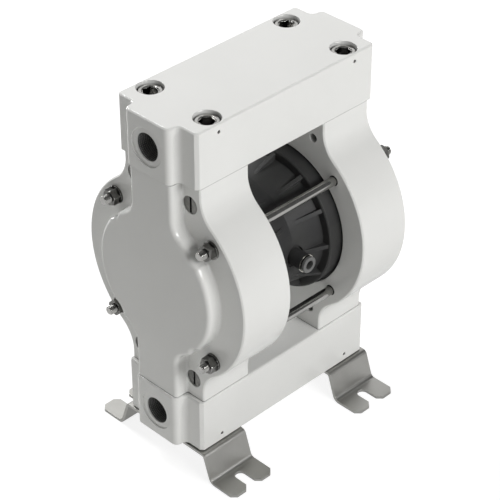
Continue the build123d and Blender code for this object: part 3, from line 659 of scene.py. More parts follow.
@dataclass(frozen=True)
class Metal(Finish):
    """Metal with the marks of how it was made.

    Args:
        lay: Direction of the marks.
        mark: Width of one mark, in metres.
        run: Length of one mark, in metres.
        depth: Depth of the marks, in metres.
        shaft_height: Height of the shaft axis, for turned rings.
    """

    lay: Lay = Lay.TUMBLED
    mark: float = 0.15 * MM
    run: float = 20 * MM
    depth: float = 0.004 * MM
    shaft_height: float = SHAFT_HEIGHT

    def relief(self, wiring: Wiring) -> tuple[Socket, Socket, float]:
        """Builds the surface relief.

        Args:
            wiring: The material's wiring.

        Returns:
            The height, a mask that follows it, and the depth of the relief in metres.
        """
        if self.lay is Lay.ALONG_SHEET:
            across = 1.0 / self.mark
            marks = TOOL_LINES.use(wiring, Stretch=(1.0 / self.run, across, across))
        elif self.lay is Lay.ROUND_SHAFT:
            marks = TURNED_RINGS.use(wiring, Axis=(0.0, 0.0, self.shaft_height), Rings=1.0 / self.mark)
        else:
            marks = SURFACE_GRAIN.use(wiring, Grains=1.0 / self.mark, Waves=1.0 / self.run, Wave_Share=0.5)
        return marks.outputs["Height"], marks.outputs["Mask"], self.depth

    def settle(self, shader: bpy.types.Node) -> None:
        """Sets what is the same all over the surface, on the Principled shader."""
        shader.inputs["Metallic"].default_value = 1.0


@dataclass(frozen=True)
class Sintered(Plastic):
    """Porous plastic made of fused beads, as the silencer's wall is.

    Args:
        bead: Size of one bead, in metres.
    """

    bead: float = 0.7 * MM

    def relief(self, wiring: Wiring) -> tuple[Socket, Socket, float]:
        """Builds the surface relief.

        Args:
            wiring: The material's wiring.

        Returns:
            The height, a mask that follows it, and the depth of the relief in metres.
        """
        beads = wiring.add("ShaderNodeTexVoronoi")
        wiring.feed(beads.inputs["Vector"], wiring.place())
        wiring.feed(beads.inputs["Scale"], 1.0 / self.bead)
        rounded = wiring.spread(beads.outputs["Distance"], 1.0, 0.0, start=0.0, end=0.7)
        return rounded, rounded, self.depth


@dataclass(frozen=True)
class JoinedBlock(Plastic):
    """Machined plastic block with a dark line where it meets its neighbour.

    Args:
        lower_joint: Height of the joint over the inlet manifold, in metres.
        upper_joint: Height of the joint under the outlet manifold, in metres.
        line: Half the width of the line, in metres.
        line_share: How dark the line is, from 0 to 1.
    """

    lower_joint: float = 79.5 * MM
    upper_joint: float = 290.5 * MM
    line: float = 0.46 * MM
    line_share: float = 0.95

    def overlay(self, wiring: Wiring, colour: Socket) -> Socket:
        """Draws the joint lines.

        Args:
            wiring: The material's wiring.
            colour: The colour so far.

        Returns:
            The colour with the lines.
        """
        line = JOINT_LINE.use(wiring, Lower=self.lower_joint, Upper=self.upper_joint, Width=self.line)
        share = wiring.math("MULTIPLY", line.outputs["Mask"], self.line_share)
        return wiring.blend(share, colour, self.shade_and_joint_tone)


# The lighter edge tone paints a highlight along the block's edges, besides scuffing.
PALE_BLOCK = JoinedBlock(
    Slot.PALE_PLASTIC, colour=(0.80, 0.80, 0.782), tint=(0.775, 0.775, 0.757), patch=60 * MM,
    smoothest=0.12, roughest=0.19, edge=0.8 * MM, scuff_and_highlight_tone=(0.86, 0.86, 0.845), scuff_and_highlight_share=0.6,
    grain=0.45 * MM, depth=0.004 * MM, wave=18 * MM, wave_share=2.0)
# Painted shade: the port threads are cut in the pale block but get a near black tone that stands for the
# shade deep in the bores.
PORT_PAINTED_SHADE = Plastic(
    Slot.PALE_PLASTIC, colour=(0.13, 0.13, 0.127), tint=(0.09, 0.09, 0.088), patch=9 * MM,
    smoothest=0.30, roughest=0.45, edge=0.15 * MM, scuff_and_highlight_tone=(0.28, 0.28, 0.27), scuff_and_highlight_share=0.7,
    grain=0.4 * MM, depth=0.006 * MM, wave=6 * MM, name="port_painted_shade_finish")
# The lighter edge tone paints a highlight along the moulding's edges and ribs, besides scuffing.
BLACK_MOULDING = Plastic(
    Slot.BLACK_PLASTIC, colour=(0.030, 0.030, 0.031), tint=(0.041, 0.041, 0.040), patch=20 * MM,
    smoothest=0.42, roughest=0.58, edge=0.9 * MM, scuff_and_highlight_tone=(0.085, 0.085, 0.083), scuff_and_highlight_share=0.5,
    grain=0.6 * MM, depth=0.03 * MM, wave=15 * MM, refraction=1.53, gloss=0.25)
BENT_SHEET = Metal(
    Slot.STAINLESS_SHEET, colour=(0.48, 0.476, 0.456), tint=(0.42, 0.416, 0.396), patch=25 * MM,
    smoothest=0.30, roughest=0.44, edge=0.5 * MM, scuff_and_highlight_tone=(0.66, 0.66, 0.64), scuff_and_highlight_share=0.6,
    lay=Lay.ALONG_SHEET, mark=0.25 * MM, run=22 * MM, depth=0.006 * MM)
# Strong painted shade turns the screw sockets near black.
BRIGHT_STEEL = Metal(
    Slot.STAINLESS_FASTENER, colour=(0.56, 0.554, 0.535), tint=(0.44, 0.436, 0.42), patch=6 * MM,
    smoothest=0.09, roughest=0.18, edge=0.25 * MM, scuff_and_highlight_tone=(0.82, 0.82, 0.80), scuff_and_highlight_share=0.7,
    mark=0.3 * MM, run=4 * MM, depth=0.003 * MM,
    reach=14 * MM, hole_shade_strength=1.0, open_at=0.66, shade_and_joint_tone=(0.004, 0.004, 0.004))
# Painted shade and glints: the stainless nuts and washers get a darker tone for their shaded look, near
# white edges for glints, and strong shade in their holes.
NUTS_PAINTED_SHADE_GLINT = Metal(
    Slot.STAINLESS_FASTENER, colour=(0.24, 0.238, 0.228), tint=(0.12, 0.119, 0.114), patch=5 * MM,
    smoothest=0.07, roughest=0.15, edge=0.32 * MM, scuff_and_highlight_tone=(0.93, 0.93, 0.91), scuff_and_highlight_share=1.0,
    mark=0.3 * MM, run=4 * MM, depth=0.003 * MM,
    reach=14 * MM, hole_shade_strength=1.0, open_at=0.5, shade_and_joint_tone=(0.004, 0.004, 0.004), name="nuts_painted_shade_glint_finish")
# Painted shade: the stainless dowel nuts get a darker tone that stands for the shade of the holes they sit
# in.
DOWELS_PAINTED_SHADE = Metal(
    Slot.STAINLESS_FASTENER, colour=(0.24, 0.238, 0.228), tint=(0.15, 0.148, 0.142), patch=5 * MM,
    smoothest=0.20, roughest=0.34, edge=0.4 * MM, scuff_and_highlight_tone=(0.60, 0.60, 0.58), scuff_and_highlight_share=0.8,
    mark=0.3 * MM, run=4 * MM, depth=0.006 * MM, name="dowels_painted_shade_finish")
NICKEL_CAP = Metal(
    Slot.NICKEL_RING, colour=(0.66, 0.64, 0.59), tint=(0.60, 0.58, 0.53), patch=5 * MM,
    smoothest=0.14, roughest=0.24, edge=0.2 * MM, scuff_and_highlight_tone=(0.8, 0.79, 0.75), scuff_and_highlight_share=0.5,
    mark=0.2 * MM, run=3 * MM, depth=0.002 * MM)
COLLET_MOULDING = Plastic(
    Slot.COLLET_GREY, colour=(0.15, 0.15, 0.147), tint=(0.12, 0.12, 0.118), patch=6 * MM,
    smoothest=0.34, roughest=0.46, edge=0.3 * MM, scuff_and_highlight_tone=(0.42, 0.42, 0.41), scuff_and_highlight_share=0.4,
    grain=0.3 * MM, depth=0.01 * MM, wave=5 * MM, wave_share=0.6)
DIAPHRAGM_SKIN = Plastic(
    Slot.DIAPHRAGM_WHITE, colour=(0.78, 0.78, 0.76), tint=(0.72, 0.72, 0.69), patch=18 * MM,
    smoothest=0.36, roughest=0.50, edge=0.4 * MM, scuff_and_highlight_tone=(0.84, 0.84, 0.82), scuff_and_highlight_share=0.3,
    grain=0.8 * MM, depth=0.02 * MM, wave=9 * MM, wave_share=1.2, refraction=1.38)
SEAL_RUBBER = Plastic(
    Slot.SEAL_BLACK, colour=(0.018, 0.018, 0.018), tint=(0.028, 0.028, 0.027), patch=8 * MM,
    smoothest=0.55, roughest=0.72, edge=0.2 * MM, scuff_and_highlight_tone=(0.05, 0.05, 0.05), scuff_and_highlight_share=0.4,
    grain=0.25 * MM, depth=0.015 * MM, wave=4 * MM, wave_share=0.5, refraction=1.52)
VALVE_BALL = Plastic(
    Slot.BALL_WHITE, colour=(0.80, 0.80, 0.785), tint=(0.74, 0.74, 0.72), patch=12 * MM,
    smoothest=0.26, roughest=0.38, edge=0.2 * MM, scuff_and_highlight_tone=(0.84, 0.84, 0.83), scuff_and_highlight_share=0.2,
    grain=0.4 * MM, depth=0.006 * MM, wave=8 * MM, refraction=1.38)
VALVE_MOULDING = Plastic(
    Slot.VALVE_PLASTIC, colour=(0.72, 0.715, 0.68), tint=(0.66, 0.655, 0.62), patch=14 * MM,
    smoothest=0.30, roughest=0.44, edge=0.35 * MM, scuff_and_highlight_tone=(0.80, 0.80, 0.77), scuff_and_highlight_share=0.4,
    grain=0.4 * MM, depth=0.012 * MM, wave=9 * MM)
GROUND_SHAFT = Metal(
    Slot.SHAFT_STEEL, colour=(0.58, 0.575, 0.56), tint=(0.52, 0.515, 0.50), patch=20 * MM,
    smoothest=0.16, roughest=0.28, edge=0.3 * MM, scuff_and_highlight_tone=(0.76, 0.76, 0.74), scuff_and_highlight_share=0.5,
    lay=Lay.ROUND_SHAFT, mark=0.12 * MM, depth=0.002 * MM)
TURNED_PLATE = Metal(
    Slot.PLATE_ALUMINIUM, colour=(0.70, 0.70, 0.69), tint=(0.64, 0.64, 0.63), patch=18 * MM,
    smoothest=0.26, roughest=0.40, edge=0.4 * MM, scuff_and_highlight_tone=(0.84, 0.84, 0.83), scuff_and_highlight_share=0.5,
    lay=Lay.ROUND_SHAFT, mark=0.35 * MM, depth=0.008 * MM)
BEARING_PLASTIC = Plastic(
    Slot.BUSH_PLASTIC, colour=(0.42, 0.36, 0.24), tint=(0.36, 0.31, 0.21), patch=8 * MM,
    smoothest=0.34, roughest=0.48, edge=0.3 * MM, scuff_and_highlight_tone=(0.52, 0.46, 0.34), scuff_and_highlight_share=0.4,
    grain=0.3 * MM, depth=0.01 * MM, wave=5 * MM, wave_share=0.8)
SILENCER_WALL = Sintered(
    Slot.SILENCER_PLASTIC, colour=(0.62, 0.61, 0.57), tint=(0.54, 0.53, 0.49), patch=8 * MM,
    smoothest=0.70, roughest=0.50, edge=0.5 * MM, scuff_and_highlight_tone=(0.70, 0.69, 0.65), scuff_and_highlight_share=0.4,
    depth=0.12 * MM)

FINISHES = (
    PALE_BLOCK, PORT_PAINTED_SHADE, BLACK_MOULDING, BENT_SHEET, BRIGHT_STEEL, NUTS_PAINTED_SHADE_GLINT, DOWELS_PAINTED_SHADE,
    NICKEL_CAP, COLLET_MOULDING, DIAPHRAGM_SKIN, SEAL_RUBBER, VALVE_BALL, VALVE_MOULDING,
    GROUND_SHAFT, TURNED_PLATE, BEARING_PLASTIC, SILENCER_WALL)


@dataclass
class FinishStore:
    """Holds one Blender material for each finish.

    Args:
        materials: The materials made so far, by finish.
    """

    materials: dict[Finish, bpy.types.Material] = field(default_factory=dict)

    def stock(self) -> None:
        """Makes the material of every finish."""
        for finish in FINISHES:
            self.materials[finish] = finish.material()

    def paint(self, piece: bpy.types.Object, finish: Finish) -> None:
        """Gives a piece its finish.

        Args:
            piece: A CAD node or a scene piece.
            finish: The finish.
        """
        if not piece.material_slots:
            piece.data.materials.append(self.materials[finish])
        for place in piece.material_slots:
            place.material = self.materials[finish]


@dataclass
class Assembly:
    """CAD nodes that belong together, each with its finish.

    Args:
        store: Where the finishes come from.
        title: The assembly's name in the log.
        nodes: The finish of each CAD node.
    """

    store: FinishStore
    title: str = "assembly"
    nodes: dict[str, Finish] = field(default_factory=dict)

    def extras(self) -> list[bpy.types.Object]:
        """Returns the scene pieces that this assembly adds, in place and riding."""
        return []

    def build(self) -> None:
        """Dresses the CAD nodes and adds the scene pieces."""
        for name, finish in self.nodes.items():
            self.store.paint(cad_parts[name], finish)
            log.info("%s: %s in %s", self.title, name, finish.slot.value)
        for piece in self.extras():
            log.info("%s: %s added", self.title, piece.name)


def sides_of(stem: str) -> tuple[str, str]:
    """Returns the left and right node names of a stem."""
    return f"left_{stem}", f"right_{stem}"


def levels_of(stem: str) -> tuple[str, str]:
    """Returns the inlet and outlet node names of a stem."""
    return f"inlet_{stem}", f"outlet_{stem}"


@dataclass
class RingMesh:
    """A mesh made of rings of points, one ring after the other.

    Args:
        segments: Points in each ring.
        points: All points so far.
        faces: All faces so far, as numbers of points.
    """

    segments: int
    points: list[Point] = field(default_factory=list)
    faces: list[tuple[int, ...]] = field(default_factory=list)

    def tube(self, rings: list[list[Point]], capped: bool) -> None:
        """Adds a tube.

        Args:
            rings: The rings in order, each with the same number of points.
            capped: Whether the first and last rings are closed with a face.
        """
        base = len(self.points)
        for ring in rings:
            self.points.extend(ring)
        for row in range(len(rings) - 1):
            for column in range(self.segments):
                here = base + row * self.segments
                after = (column + 1) % self.segments
                self.faces.append((here + column, here + after,
                                   here + self.segments + after, here + self.segments + column))
        if capped:
            last = base + (len(rings) - 1) * self.segments
            self.faces.append(tuple(base + self.segments - 1 - i for i in range(self.segments)))
            self.faces.append(tuple(last + i for i in range(self.segments)))

    def piece(self, name: str, smooth_below: float) -> bpy.types.Object:
        """Makes the object.

        Args:
            name: The piece's name.
            smooth_below: Edges that turn by less than this angle are shaded smooth.

        Returns:
            The new object, linked to the scene.
        """
        mesh = bpy.data.meshes.new(name)
        mesh.from_pydata(self.points, [], self.faces)
        mesh.validate()
        mesh.shade_smooth()
        mesh.set_sharp_from_angle(angle=smooth_below)
        return linked(name, mesh)


@dataclass
class ThreadedRods:
    """Four tie rods with rolled threads at their ends.

    Args:
        reach: Half the length of a rod.
        height: Height of the shaft axis.
        spacing: Distance of each rod from the shaft axis, in Y and in Z alike.
        radius: Radius of the plain rod and of the thread's crests.
        pitch: The thread's pitch.
        thread_depth: Depth of the thread.
        steepness: How fast the thread falls from its crest, where 1 is an even wave.
        crest: Share of the depth that is cut off for a flat crest.
        thread_start: Distance from the middle where each thread starts.
        point: Length of the chamfer at each end.
        segments: Points round the rod.
        steps: Rings in one pitch.
    """

    reach: float = 110.6 * MM
    height: float = SHAFT_HEIGHT
    spacing: float = 78.75 * MM * math.sqrt(0.5)
    radius: float = 4 * MM
    pitch: float = 1.25 * MM
    thread_depth: float = 0.62 * MM
    steepness: float = 1.25
    crest: float = 0.12
    thread_start: float = 92 * MM
    point: float = 0.8 * MM
    segments: int = 28
    steps: int = 8

    def groove(self, along: float, turn: float) -> float:
        """Returns the depth of the thread at a point.

        Args:
            along: Distance from the rod's middle.
            turn: Share of a full turn round the rod.

        Returns:
            The depth below the crest.
        """
        if along <= self.thread_start:
            return 0.0
        phase = (along / self.pitch + turn) % 1.0
        flank = 1.0 - abs(2.0 * phase - 1.0)
        run_in = min(1.0, (along - self.thread_start) / (2 * self.pitch))
        return self.thread_depth * min(1.0, max(0.0, self.steepness * flank - self.crest)) * run_in

    def profile(self, along: float, turn: float) -> float:
        """Returns the rod's radius at a distance from its middle and a share of a turn."""
        cone = self.radius - max(0.0, along - (self.reach - self.point))
        return min(cone, self.radius - self.groove(along, turn))

    def stations(self) -> list[float]:
        """Works out where the rings lie along one half of the rod.

        Returns:
            Their distances from the rod's middle, in order.
        """
        places = [0.0, self.thread_start / 2]
        step = self.pitch / self.steps
        count = int((self.reach - self.thread_start) / step)
        places += [self.thread_start + index * step for index in range(count + 1)]
        places += [self.reach - self.point, self.reach]
        return sorted(set(places))

    def half(self, mesh: RingMesh, side: int, y: float, z: float) -> list[list[Point]]:
        """Returns the rings of one half of a rod, from its middle out.

        Args:
            mesh: The mesh that the rings are for.
            side: The direction along X, 1 or -1.
            y: The rod's place in Y.
            z: The rod's place in Z.

        Returns:
            The rings.
        """
        rings = []
        for along in self.stations():
            ring = []
            for index in range(mesh.segments):
                turn = index / mesh.segments
                angle = 2 * math.pi * turn
                reach = self.profile(along, side * turn)
                ring.append((side * along, y + reach * math.cos(angle), z + reach * math.sin(angle)))
            rings.append(ring)
        return rings

    def build(self) -> bpy.types.Object:
        """Builds all four rods.

        Returns:
            The rods as one piece.
        """
        mesh = RingMesh(self.segments)
        for y in (-self.spacing, self.spacing):
            for z in (self.height - self.spacing, self.height + self.spacing):
                left = self.half(mesh, -1, y, z)
                right = self.half(mesh, 1, y, z)
                mesh.tube(list(reversed(left)) + right[1:], capped=True)
        return mesh.piece("threaded_tie_rods", SMOOTH_BELOW)


@dataclass
class PortThreads:
    """Pipe thread ridges inside the two open ports.

    Args:
        mouth: X of the thread's outer end.
        root: X of its inner end.
        heights: Z of each port's axis.
        bore: Radius of the bore that the ridges stand on.
        ridge: Height of the ridges.
        steepness: How fast a ridge falls from its crest, where 1 is an even wave.
        root_share: Share of the height that is cut off for a flat root.
        pitch: The thread's pitch.
        segments: Points round the bore.
        steps: Rings in one pitch.
    """

    mouth: float = -108.9 * MM
    root: float = -93.6 * MM
    heights: tuple[float, float] = (53.5 * MM, 316.5 * MM)
    bore: float = 12.13 * MM
    ridge: float = 0.42 * MM
    steepness: float = 1.3
    root_share: float = 0.1
    pitch: float = 1.814 * MM
    segments: int = 48
    steps: int = 8

    def radius(self, x: float, turn: float) -> float:
        """Returns the radius of the threaded wall at a point.

        Args:
            x: Place along the port.
            turn: Share of a full turn round it.

        Returns:
            The radius.
        """
        phase = (x / self.pitch + turn) % 1.0
        flank = 1.0 - abs(2.0 * phase - 1.0)
        fade = min(1.0, (x - self.mouth) / self.pitch, (self.root - x) / self.pitch)
        rise = min(1.0, max(0.0, self.steepness * flank - self.root_share))
        return self.bore - self.ridge * rise * max(0.0, fade)

    def build(self) -> bpy.types.Object:
        """Builds the threads of both ports.

        Returns:
            The threads as one piece.
        """
        mesh = RingMesh(self.segments)
        count = round((self.root - self.mouth) / (self.pitch / self.steps))
        for height in self.heights:
            rings = []
            for row in range(count + 1):
                x = self.mouth + (self.root - self.mouth) * row / count
                ring = []
                for index in range(self.segments):
                    turn = index / self.segments
                    angle = -2 * math.pi * turn
                    reach = self.radius(x, turn)
                    ring.append((x, reach * math.cos(angle), height + reach * math.sin(angle)))
                rings.append(ring)
            mesh.tube(rings, capped=False)
        return mesh.piece("port_threads", SMOOTH_BELOW)


@dataclass
class BendingDiaphragm:
    """A diaphragm cut into sectors round the shaft axis.

    Args:
        source: The CAD node.
        across: The membrane's place along X.
        height: Height of the shaft axis.
        count: Number of sectors.
        clamped: Distance from the shaft axis from which the rim stays in place; not used.
        carried: Distance from the shaft axis up to which the plates carry the membrane; not used.
    """

    source: bpy.types.Object
    across: float
    height: float = SHAFT_HEIGHT
    count: int = 12
    clamped: float = 56 * MM
    carried: float = 34.5 * MM

    def trim(self, shape: bmesh.types.BMesh, turn: float, side: int) -> None:
        """Cuts away what lies beyond one side of a sector.

        Args:
            shape: The mesh to cut.
            turn: Angle of the cut round the shaft axis.
            side: 1 to cut away larger angles, -1 to cut away smaller ones.
        """
        outward = Vector((0.0, -side * math.sin(turn), side * math.cos(turn)))
        bmesh.ops.bisect_plane(
            shape, geom=[*shape.verts, *shape.edges, *shape.faces], dist=0.001 * MM,
            plane_co=(self.across, 0.0, self.height), plane_no=outward, clear_outer=True)

    def sector(self, index: int) -> bpy.types.Object:
        """Makes one sector.

        Args:
            index: The sector's number.

        Returns:
            The sector.
        """
        middle = 2 * math.pi * index / self.count
        shape = bmesh.new()
        shape.from_mesh(self.source.data)
        for side in (-1, 1):
            self.trim(shape, middle + side * math.pi / self.count, side)
        mesh = bpy.data.meshes.new(f"{self.source.name}_sector_{index + 1:02d}")
        shape.to_mesh(mesh)
        shape.free()
        made = linked(mesh.name, mesh)
        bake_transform(made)
        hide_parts(self.source.name)
        return made


@dataclass
class LiquidEnd(Assembly):
    """The blocks that the liquid runs through, with their plugs and seal rings.

    Args:
        threads: The threads of the open ports.
    """

    title: str = "liquid end"
    nodes: dict[str, Finish] = field(default_factory=lambda: {
        **dict.fromkeys(levels_of("manifold"), PALE_BLOCK),
        **dict.fromkeys(sides_of("housing"), PALE_BLOCK),
        **dict.fromkeys(levels_of("port_plug"), PALE_BLOCK),
        **dict.fromkeys(levels_of("joint_rings"), SEAL_RUBBER)})
    threads: PortThreads = field(default_factory=PortThreads)

    def extras(self) -> list[bpy.types.Object]:
        """Builds the port threads.

        Returns:
            The threads, riding on the pump.
        """
        made = self.threads.build()
        # The threads carry painted shade, a dark tone for the shade inside the bores.
        self.store.paint(made, PORT_PAINTED_SHADE)
        return [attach(made, Body.PUMP.value)]


@dataclass
class BallValves(Assembly):
    """Seats, balls and cages of the four check valves."""

    title: str = "ball valves"
    nodes: dict[str, Finish] = field(default_factory=lambda: {
        **dict.fromkeys(levels_of("valve_seats"), VALVE_MOULDING),
        **dict.fromkeys(levels_of("ball_cages"), VALVE_MOULDING),
        **dict.fromkeys(sides_of("inlet_ball") + sides_of("outlet_ball"), VALVE_BALL)})


@dataclass
class Fasteners(Assembly):
    """Manifold screws with their dowel nuts, and the tie rods with washers and nuts.

    Args:
        rods: The threaded rods that stand for the plain CAD ones.
    """

    title: str = "fasteners"
    nodes: dict[str, Finish] = field(default_factory=lambda: dict.fromkeys(
        levels_of("manifold_screws") + ("tie_rods",), BRIGHT_STEEL)
        | dict.fromkeys(sides_of("washers") + sides_of("nuts"), NUTS_PAINTED_SHADE_GLINT)
        | dict.fromkeys(levels_of("dowel_nuts"), DOWELS_PAINTED_SHADE))
    rods: ThreadedRods = field(default_factory=ThreadedRods)

    def extras(self) -> list[bpy.types.Object]:
        """Builds the threaded rods, which stand for the plain ones.

        Returns:
            The rods, riding on the pump.
        """
        made = self.rods.build()
        self.store.paint(made, BRIGHT_STEEL)
        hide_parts("tie_rods")
        return [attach(made, Body.PUMP.value)]


@dataclass
class Feet(Assembly):
    """The two bent brackets and their screws."""

    title: str = "feet"
    nodes: dict[str, Finish] = field(default_factory=lambda: {
        **dict.fromkeys(sides_of("foot_bracket"), BENT_SHEET),
        "foot_screws": BRIGHT_STEEL})


@dataclass
class AirEnd(Assembly):
    """Centre body, air valve, pilot piston, inlet fitting and silencer."""

    title: str = "air end"
    nodes: dict[str, Finish] = field(default_factory=lambda: {
        "centre_body": BLACK_MOULDING,
        "air_fitting_body": BLACK_MOULDING,
        "fitting_cap_ring": NICKEL_CAP,
        "fitting_collet": COLLET_MOULDING,
        "exhaust_silencer": SILENCER_WALL,
        "spool_sleeve": BEARING_PLASTIC,
        "valve_end_caps": BEARING_PLASTIC,
        "main_spool": TURNED_PLATE,
        "spool_rings": SEAL_RUBBER,
        "pilot_piston": GROUND_SHAFT,
        "pilot_bushes": BEARING_PLASTIC})


@dataclass
class DiaphragmDrive(Assembly):
    """Shaft, plates and diaphragms, with the bushes and seals that guide them.

    Args:
        across: Distance of each membrane from the pump's middle.
    """

    title: str = "diaphragm drive"
    nodes: dict[str, Finish] = field(default_factory=lambda: {
        "diaphragm_shaft": GROUND_SHAFT,
        **dict.fromkeys(sides_of("diaphragm"), DIAPHRAGM_SKIN),
        **dict.fromkeys(sides_of("inner_plate"), TURNED_PLATE),
        **dict.fromkeys(sides_of("outer_plate"), PALE_BLOCK),
        "shaft_bushes": BEARING_PLASTIC,
        "shaft_seals": SEAL_RUBBER})
    across: float = 49.5 * MM

    def extras(self) -> list[bpy.types.Object]:
        """Cuts both diaphragms into sectors, in place of the whole ones.

        Returns:
            The sectors.
        """
        made = []
        for name, side in zip(sides_of("diaphragm"), (-1, 1)):
            diaphragm = BendingDiaphragm(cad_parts[name], side * self.across)
            made += [diaphragm.sector(index) for index in range(diaphragm.count)]
        for sector in made:
            self.store.paint(sector, DIAPHRAGM_SKIN)
        return made


@dataclass(frozen=True)
class Softbox:
    """A wide soft lamp.

    Args:
        name: The lamp's name.
        place: Where its middle is.
        aim: The point that it faces.
        width: Its width.
        height: Its height.
        power: Its power in watts.
    """

    name: str
    place: Point
    aim: Point
    width: float
    height: float
    power: float

    def build(self) -> bpy.types.Object:
        """Builds the lamp.

        Returns:
            The lamp, linked to the scene.
        """
        lamp = bpy.data.lights.new(self.name, "AREA")
        lamp.shape = "RECTANGLE"
        lamp.size = self.width
        lamp.size_y = self.height
        lamp.energy = self.power
        made = linked(self.name, lamp)
        made.location = self.place
        facing = Vector(self.aim) - Vector(self.place)
        made.rotation_euler = facing.to_track_quat("-Z", "Y").to_euler()
        return made


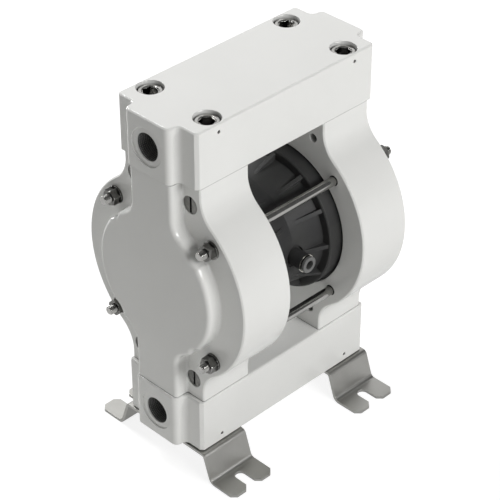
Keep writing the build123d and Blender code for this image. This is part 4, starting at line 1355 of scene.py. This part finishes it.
@dataclass
class Studio:
    """White floor, soft light and the camera of the photograph.

    Args:
        floor_size: Side of the square floor.
        floor_drop: How far the floor lies under the feet.
        floor_glow: Light that the floor shows to the camera by itself.
        floor_shade: Share of the floor's own light that the camera adds to that.
        floor_mirror: Light that it shows in a reflection instead.
        floor_tone: The floor's colour for the light that it gives back.
        fleck_tone: The tone of its flecks.
        fleck_share: How much of that tone shows, from 0 to 1.
        flecks: Flecks per metre.
        ambient: Light from all round.
        ambient_tint: Its colour.
        horizon: How bright the surroundings look in a reflection at eye level.
        horizon_top: Height of the eye-level band's upper edge, as a sine.
        ceiling: How bright they look overhead.
        ceiling_edge: Height of the ceiling's lower edge, as a sine.
        card: How bright a white card behind the pump looks in a reflection.
        card_way: Direction of the card.
        card_rim: Cosine of the angle from there at which the card ends.
        card_body: Cosine of the angle at which it is fully bright.
        lamps: The soft lamps.
        camera_place: Where the camera is.
        camera_tilt: Its tilt from straight down.
        camera_turn: Its turn about the upright.
        lens: Its focal length in millimetres.
        sensor: The width of its sensor in millimetres.
        farthest: How far the camera sees.
    """

    floor_size: float = 12.0
    floor_drop: float = 0.2 * MM
    floor_glow: float = 0.85
    floor_shade: float = 0.30
    floor_mirror: float = 0.45
    floor_tone: Colour = (0.82, 0.82, 0.81)
    fleck_tone: Colour = (0.78, 0.78, 0.77)
    fleck_share: float = 0.04
    flecks: float = 6.0
    ambient: float = 0.13
    ambient_tint: Colour = (1.0, 1.0, 0.965)
    horizon: float = 1.0
    horizon_top: float = 0.02
    ceiling: float = 0.14
    ceiling_edge: float = 0.14
    card: float = 1.15
    card_way: Point = (0.577, 0.577, 0.577)
    card_rim: float = 0.86
    card_body: float = 0.93
    lamps: tuple[Softbox, ...] = (
        Softbox("front_softbox", (0.03, -1.60, 1.08), (0.0, 0.0, 0.17), 1.0, 0.5, 22.2),
        Softbox("top_softbox", (0.0, 1.05, 1.40), (0.0, 0.0, 0.17), 0.5, 0.7, 17.3),
        Softbox("low_softbox", (0.0, 1.80, 0.45), (0.0, 0.0, 0.17), 0.4, 0.2, 8.0))
    camera_place: Point = (-0.9298, -0.9316, 1.0955)
    camera_tilt: float = 54.736
    camera_turn: float = -45.0
    lens: float = 136.95
    sensor: float = 36.0
    farthest: float = 100.0

    def floor(self) -> None:
        """Lays the floor, which looks white to the camera and keeps a faint shadow."""
        half = self.floor_size / 2
        sides = ((-half, -half), (half, -half), (half, half), (-half, half))
        mesh = bpy.data.meshes.new("studio_floor")
        mesh.from_pydata([(x, y, -self.floor_drop) for x, y in sides], [], [(0, 1, 2, 3)])
        paint = bpy.data.materials.new("studio_floor_paint")
        wiring = fresh_wiring(paint)
        share = wiring.spread(wiring.noise(wiring.place(), self.flecks), 0.0, self.fleck_share)
        plain = wiring.add("ShaderNodeBsdfDiffuse")
        wiring.feed(plain.inputs["Color"], wiring.blend(share, self.floor_tone, self.fleck_tone))
        shaded = wiring.add("ShaderNodeBsdfDiffuse")
        wiring.feed(shaded.inputs["Color"], (self.floor_shade,) * 3)
        ray = wiring.add("ShaderNodeLightPath")
        glossy = ray.outputs["Is Glossy Ray"]
        strength = wiring.spread(glossy, self.floor_glow, self.floor_mirror, start=0.0, end=1.0)
        glow = wiring.add("ShaderNodeEmission")
        wiring.feed(glow.inputs["Strength"], strength)
        seen = wiring.add("ShaderNodeAddShader")
        wiring.feed(seen.inputs[0], shaded.outputs[0])
        wiring.feed(seen.inputs[1], glow.outputs[0])
        looked_at = wiring.math("MAXIMUM", ray.outputs["Is Camera Ray"], glossy)
        looked_at = wiring.math("MAXIMUM", looked_at, ray.outputs["Is Transmission Ray"])
        output = wiring.add("ShaderNodeOutputMaterial")
        wiring.feed(output.inputs["Surface"], wiring.mix_shaders(looked_at, plain, seen).outputs[0])
        mesh.materials.append(paint)
        made = linked("studio_floor", mesh)
        log.info("studio: floor laid")

    def mirrored(self, wiring: Wiring) -> Socket:
        """Works out how bright the surroundings look in a reflection.

        Args:
            wiring: The world's wiring.

        Returns:
            The brightness in each direction.
        """
        way = wiring.add("ShaderNodeTexCoord").outputs["Generated"]
        room = wiring.spread(wiring.component(way, "Z"), self.horizon, self.ceiling,
                             start=self.horizon_top, end=self.ceiling_edge)
        near_card = wiring.vector_math("DOT_PRODUCT", way, self.card_way).outputs["Value"]
        card = wiring.spread(near_card, 0.0, self.card, start=self.card_rim, end=self.card_body)
        return wiring.math("MAXIMUM", room, card)

    def surroundings(self) -> None:
        """Sets the world: white to the camera, soft light from all round."""
        world = bpy.data.worlds.new("studio_world")
        bpy.context.scene.world = world
        wiring = fresh_wiring(world)
        around = wiring.add("ShaderNodeBackground")
        wiring.feed(around.inputs["Color"], self.ambient_tint)
        wiring.feed(around.inputs["Strength"], self.ambient)
        reflected = wiring.add("ShaderNodeBackground")
        wiring.feed(reflected.inputs["Strength"], self.mirrored(wiring))
        white = wiring.add("ShaderNodeBackground")
        wiring.feed(white.inputs["Color"], (1.0, 1.0, 1.0))
        wiring.feed(white.inputs["Strength"], 1.0)
        ray = wiring.add("ShaderNodeLightPath")
        glossy = ray.outputs["Is Glossy Ray"]
        off_surface = wiring.math("MAXIMUM", glossy, ray.outputs["Is Transmission Ray"])
        lighting = wiring.mix_shaders(off_surface, around, reflected)
        output = wiring.add("ShaderNodeOutputWorld")
        seen = wiring.mix_shaders(ray.outputs["Is Camera Ray"], lighting, white)
        wiring.feed(output.inputs["Surface"], seen.outputs[0])
        log.info("studio: surroundings set")

    def camera(self) -> None:
        """Puts the camera where the photograph was taken from."""
        view = bpy.data.cameras.new("photo_camera")
        view.lens = self.lens
        view.sensor_width = self.sensor
        view.clip_end = self.farthest
        made = linked("photo_camera", view)
        made.location = self.camera_place
        made.rotation_euler = (math.radians(self.camera_tilt), 0.0, math.radians(self.camera_turn))
        bpy.context.scene.camera = made
        log.info("studio: camera placed")

    def build(self) -> None:
        """Builds the whole studio."""
        self.floor()
        self.surroundings()
        for lamp in self.lamps:
            lamp.build()
            log.info("studio: %s lit", lamp.name)
        self.camera()
        bpy.context.scene.view_settings.view_transform = "Standard"


def main() -> None:
    """Builds every assembly and the studio."""
    logging.basicConfig(level=logging.INFO, format="%(name)s: %(message)s")
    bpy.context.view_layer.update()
    store = FinishStore()
    store.stock()
    for assembly in (LiquidEnd, BallValves, Fasteners, Feet, AirEnd, DiaphragmDrive):
        assembly(store).build()
    Studio().build()


if __name__ == "__main__":
    main()
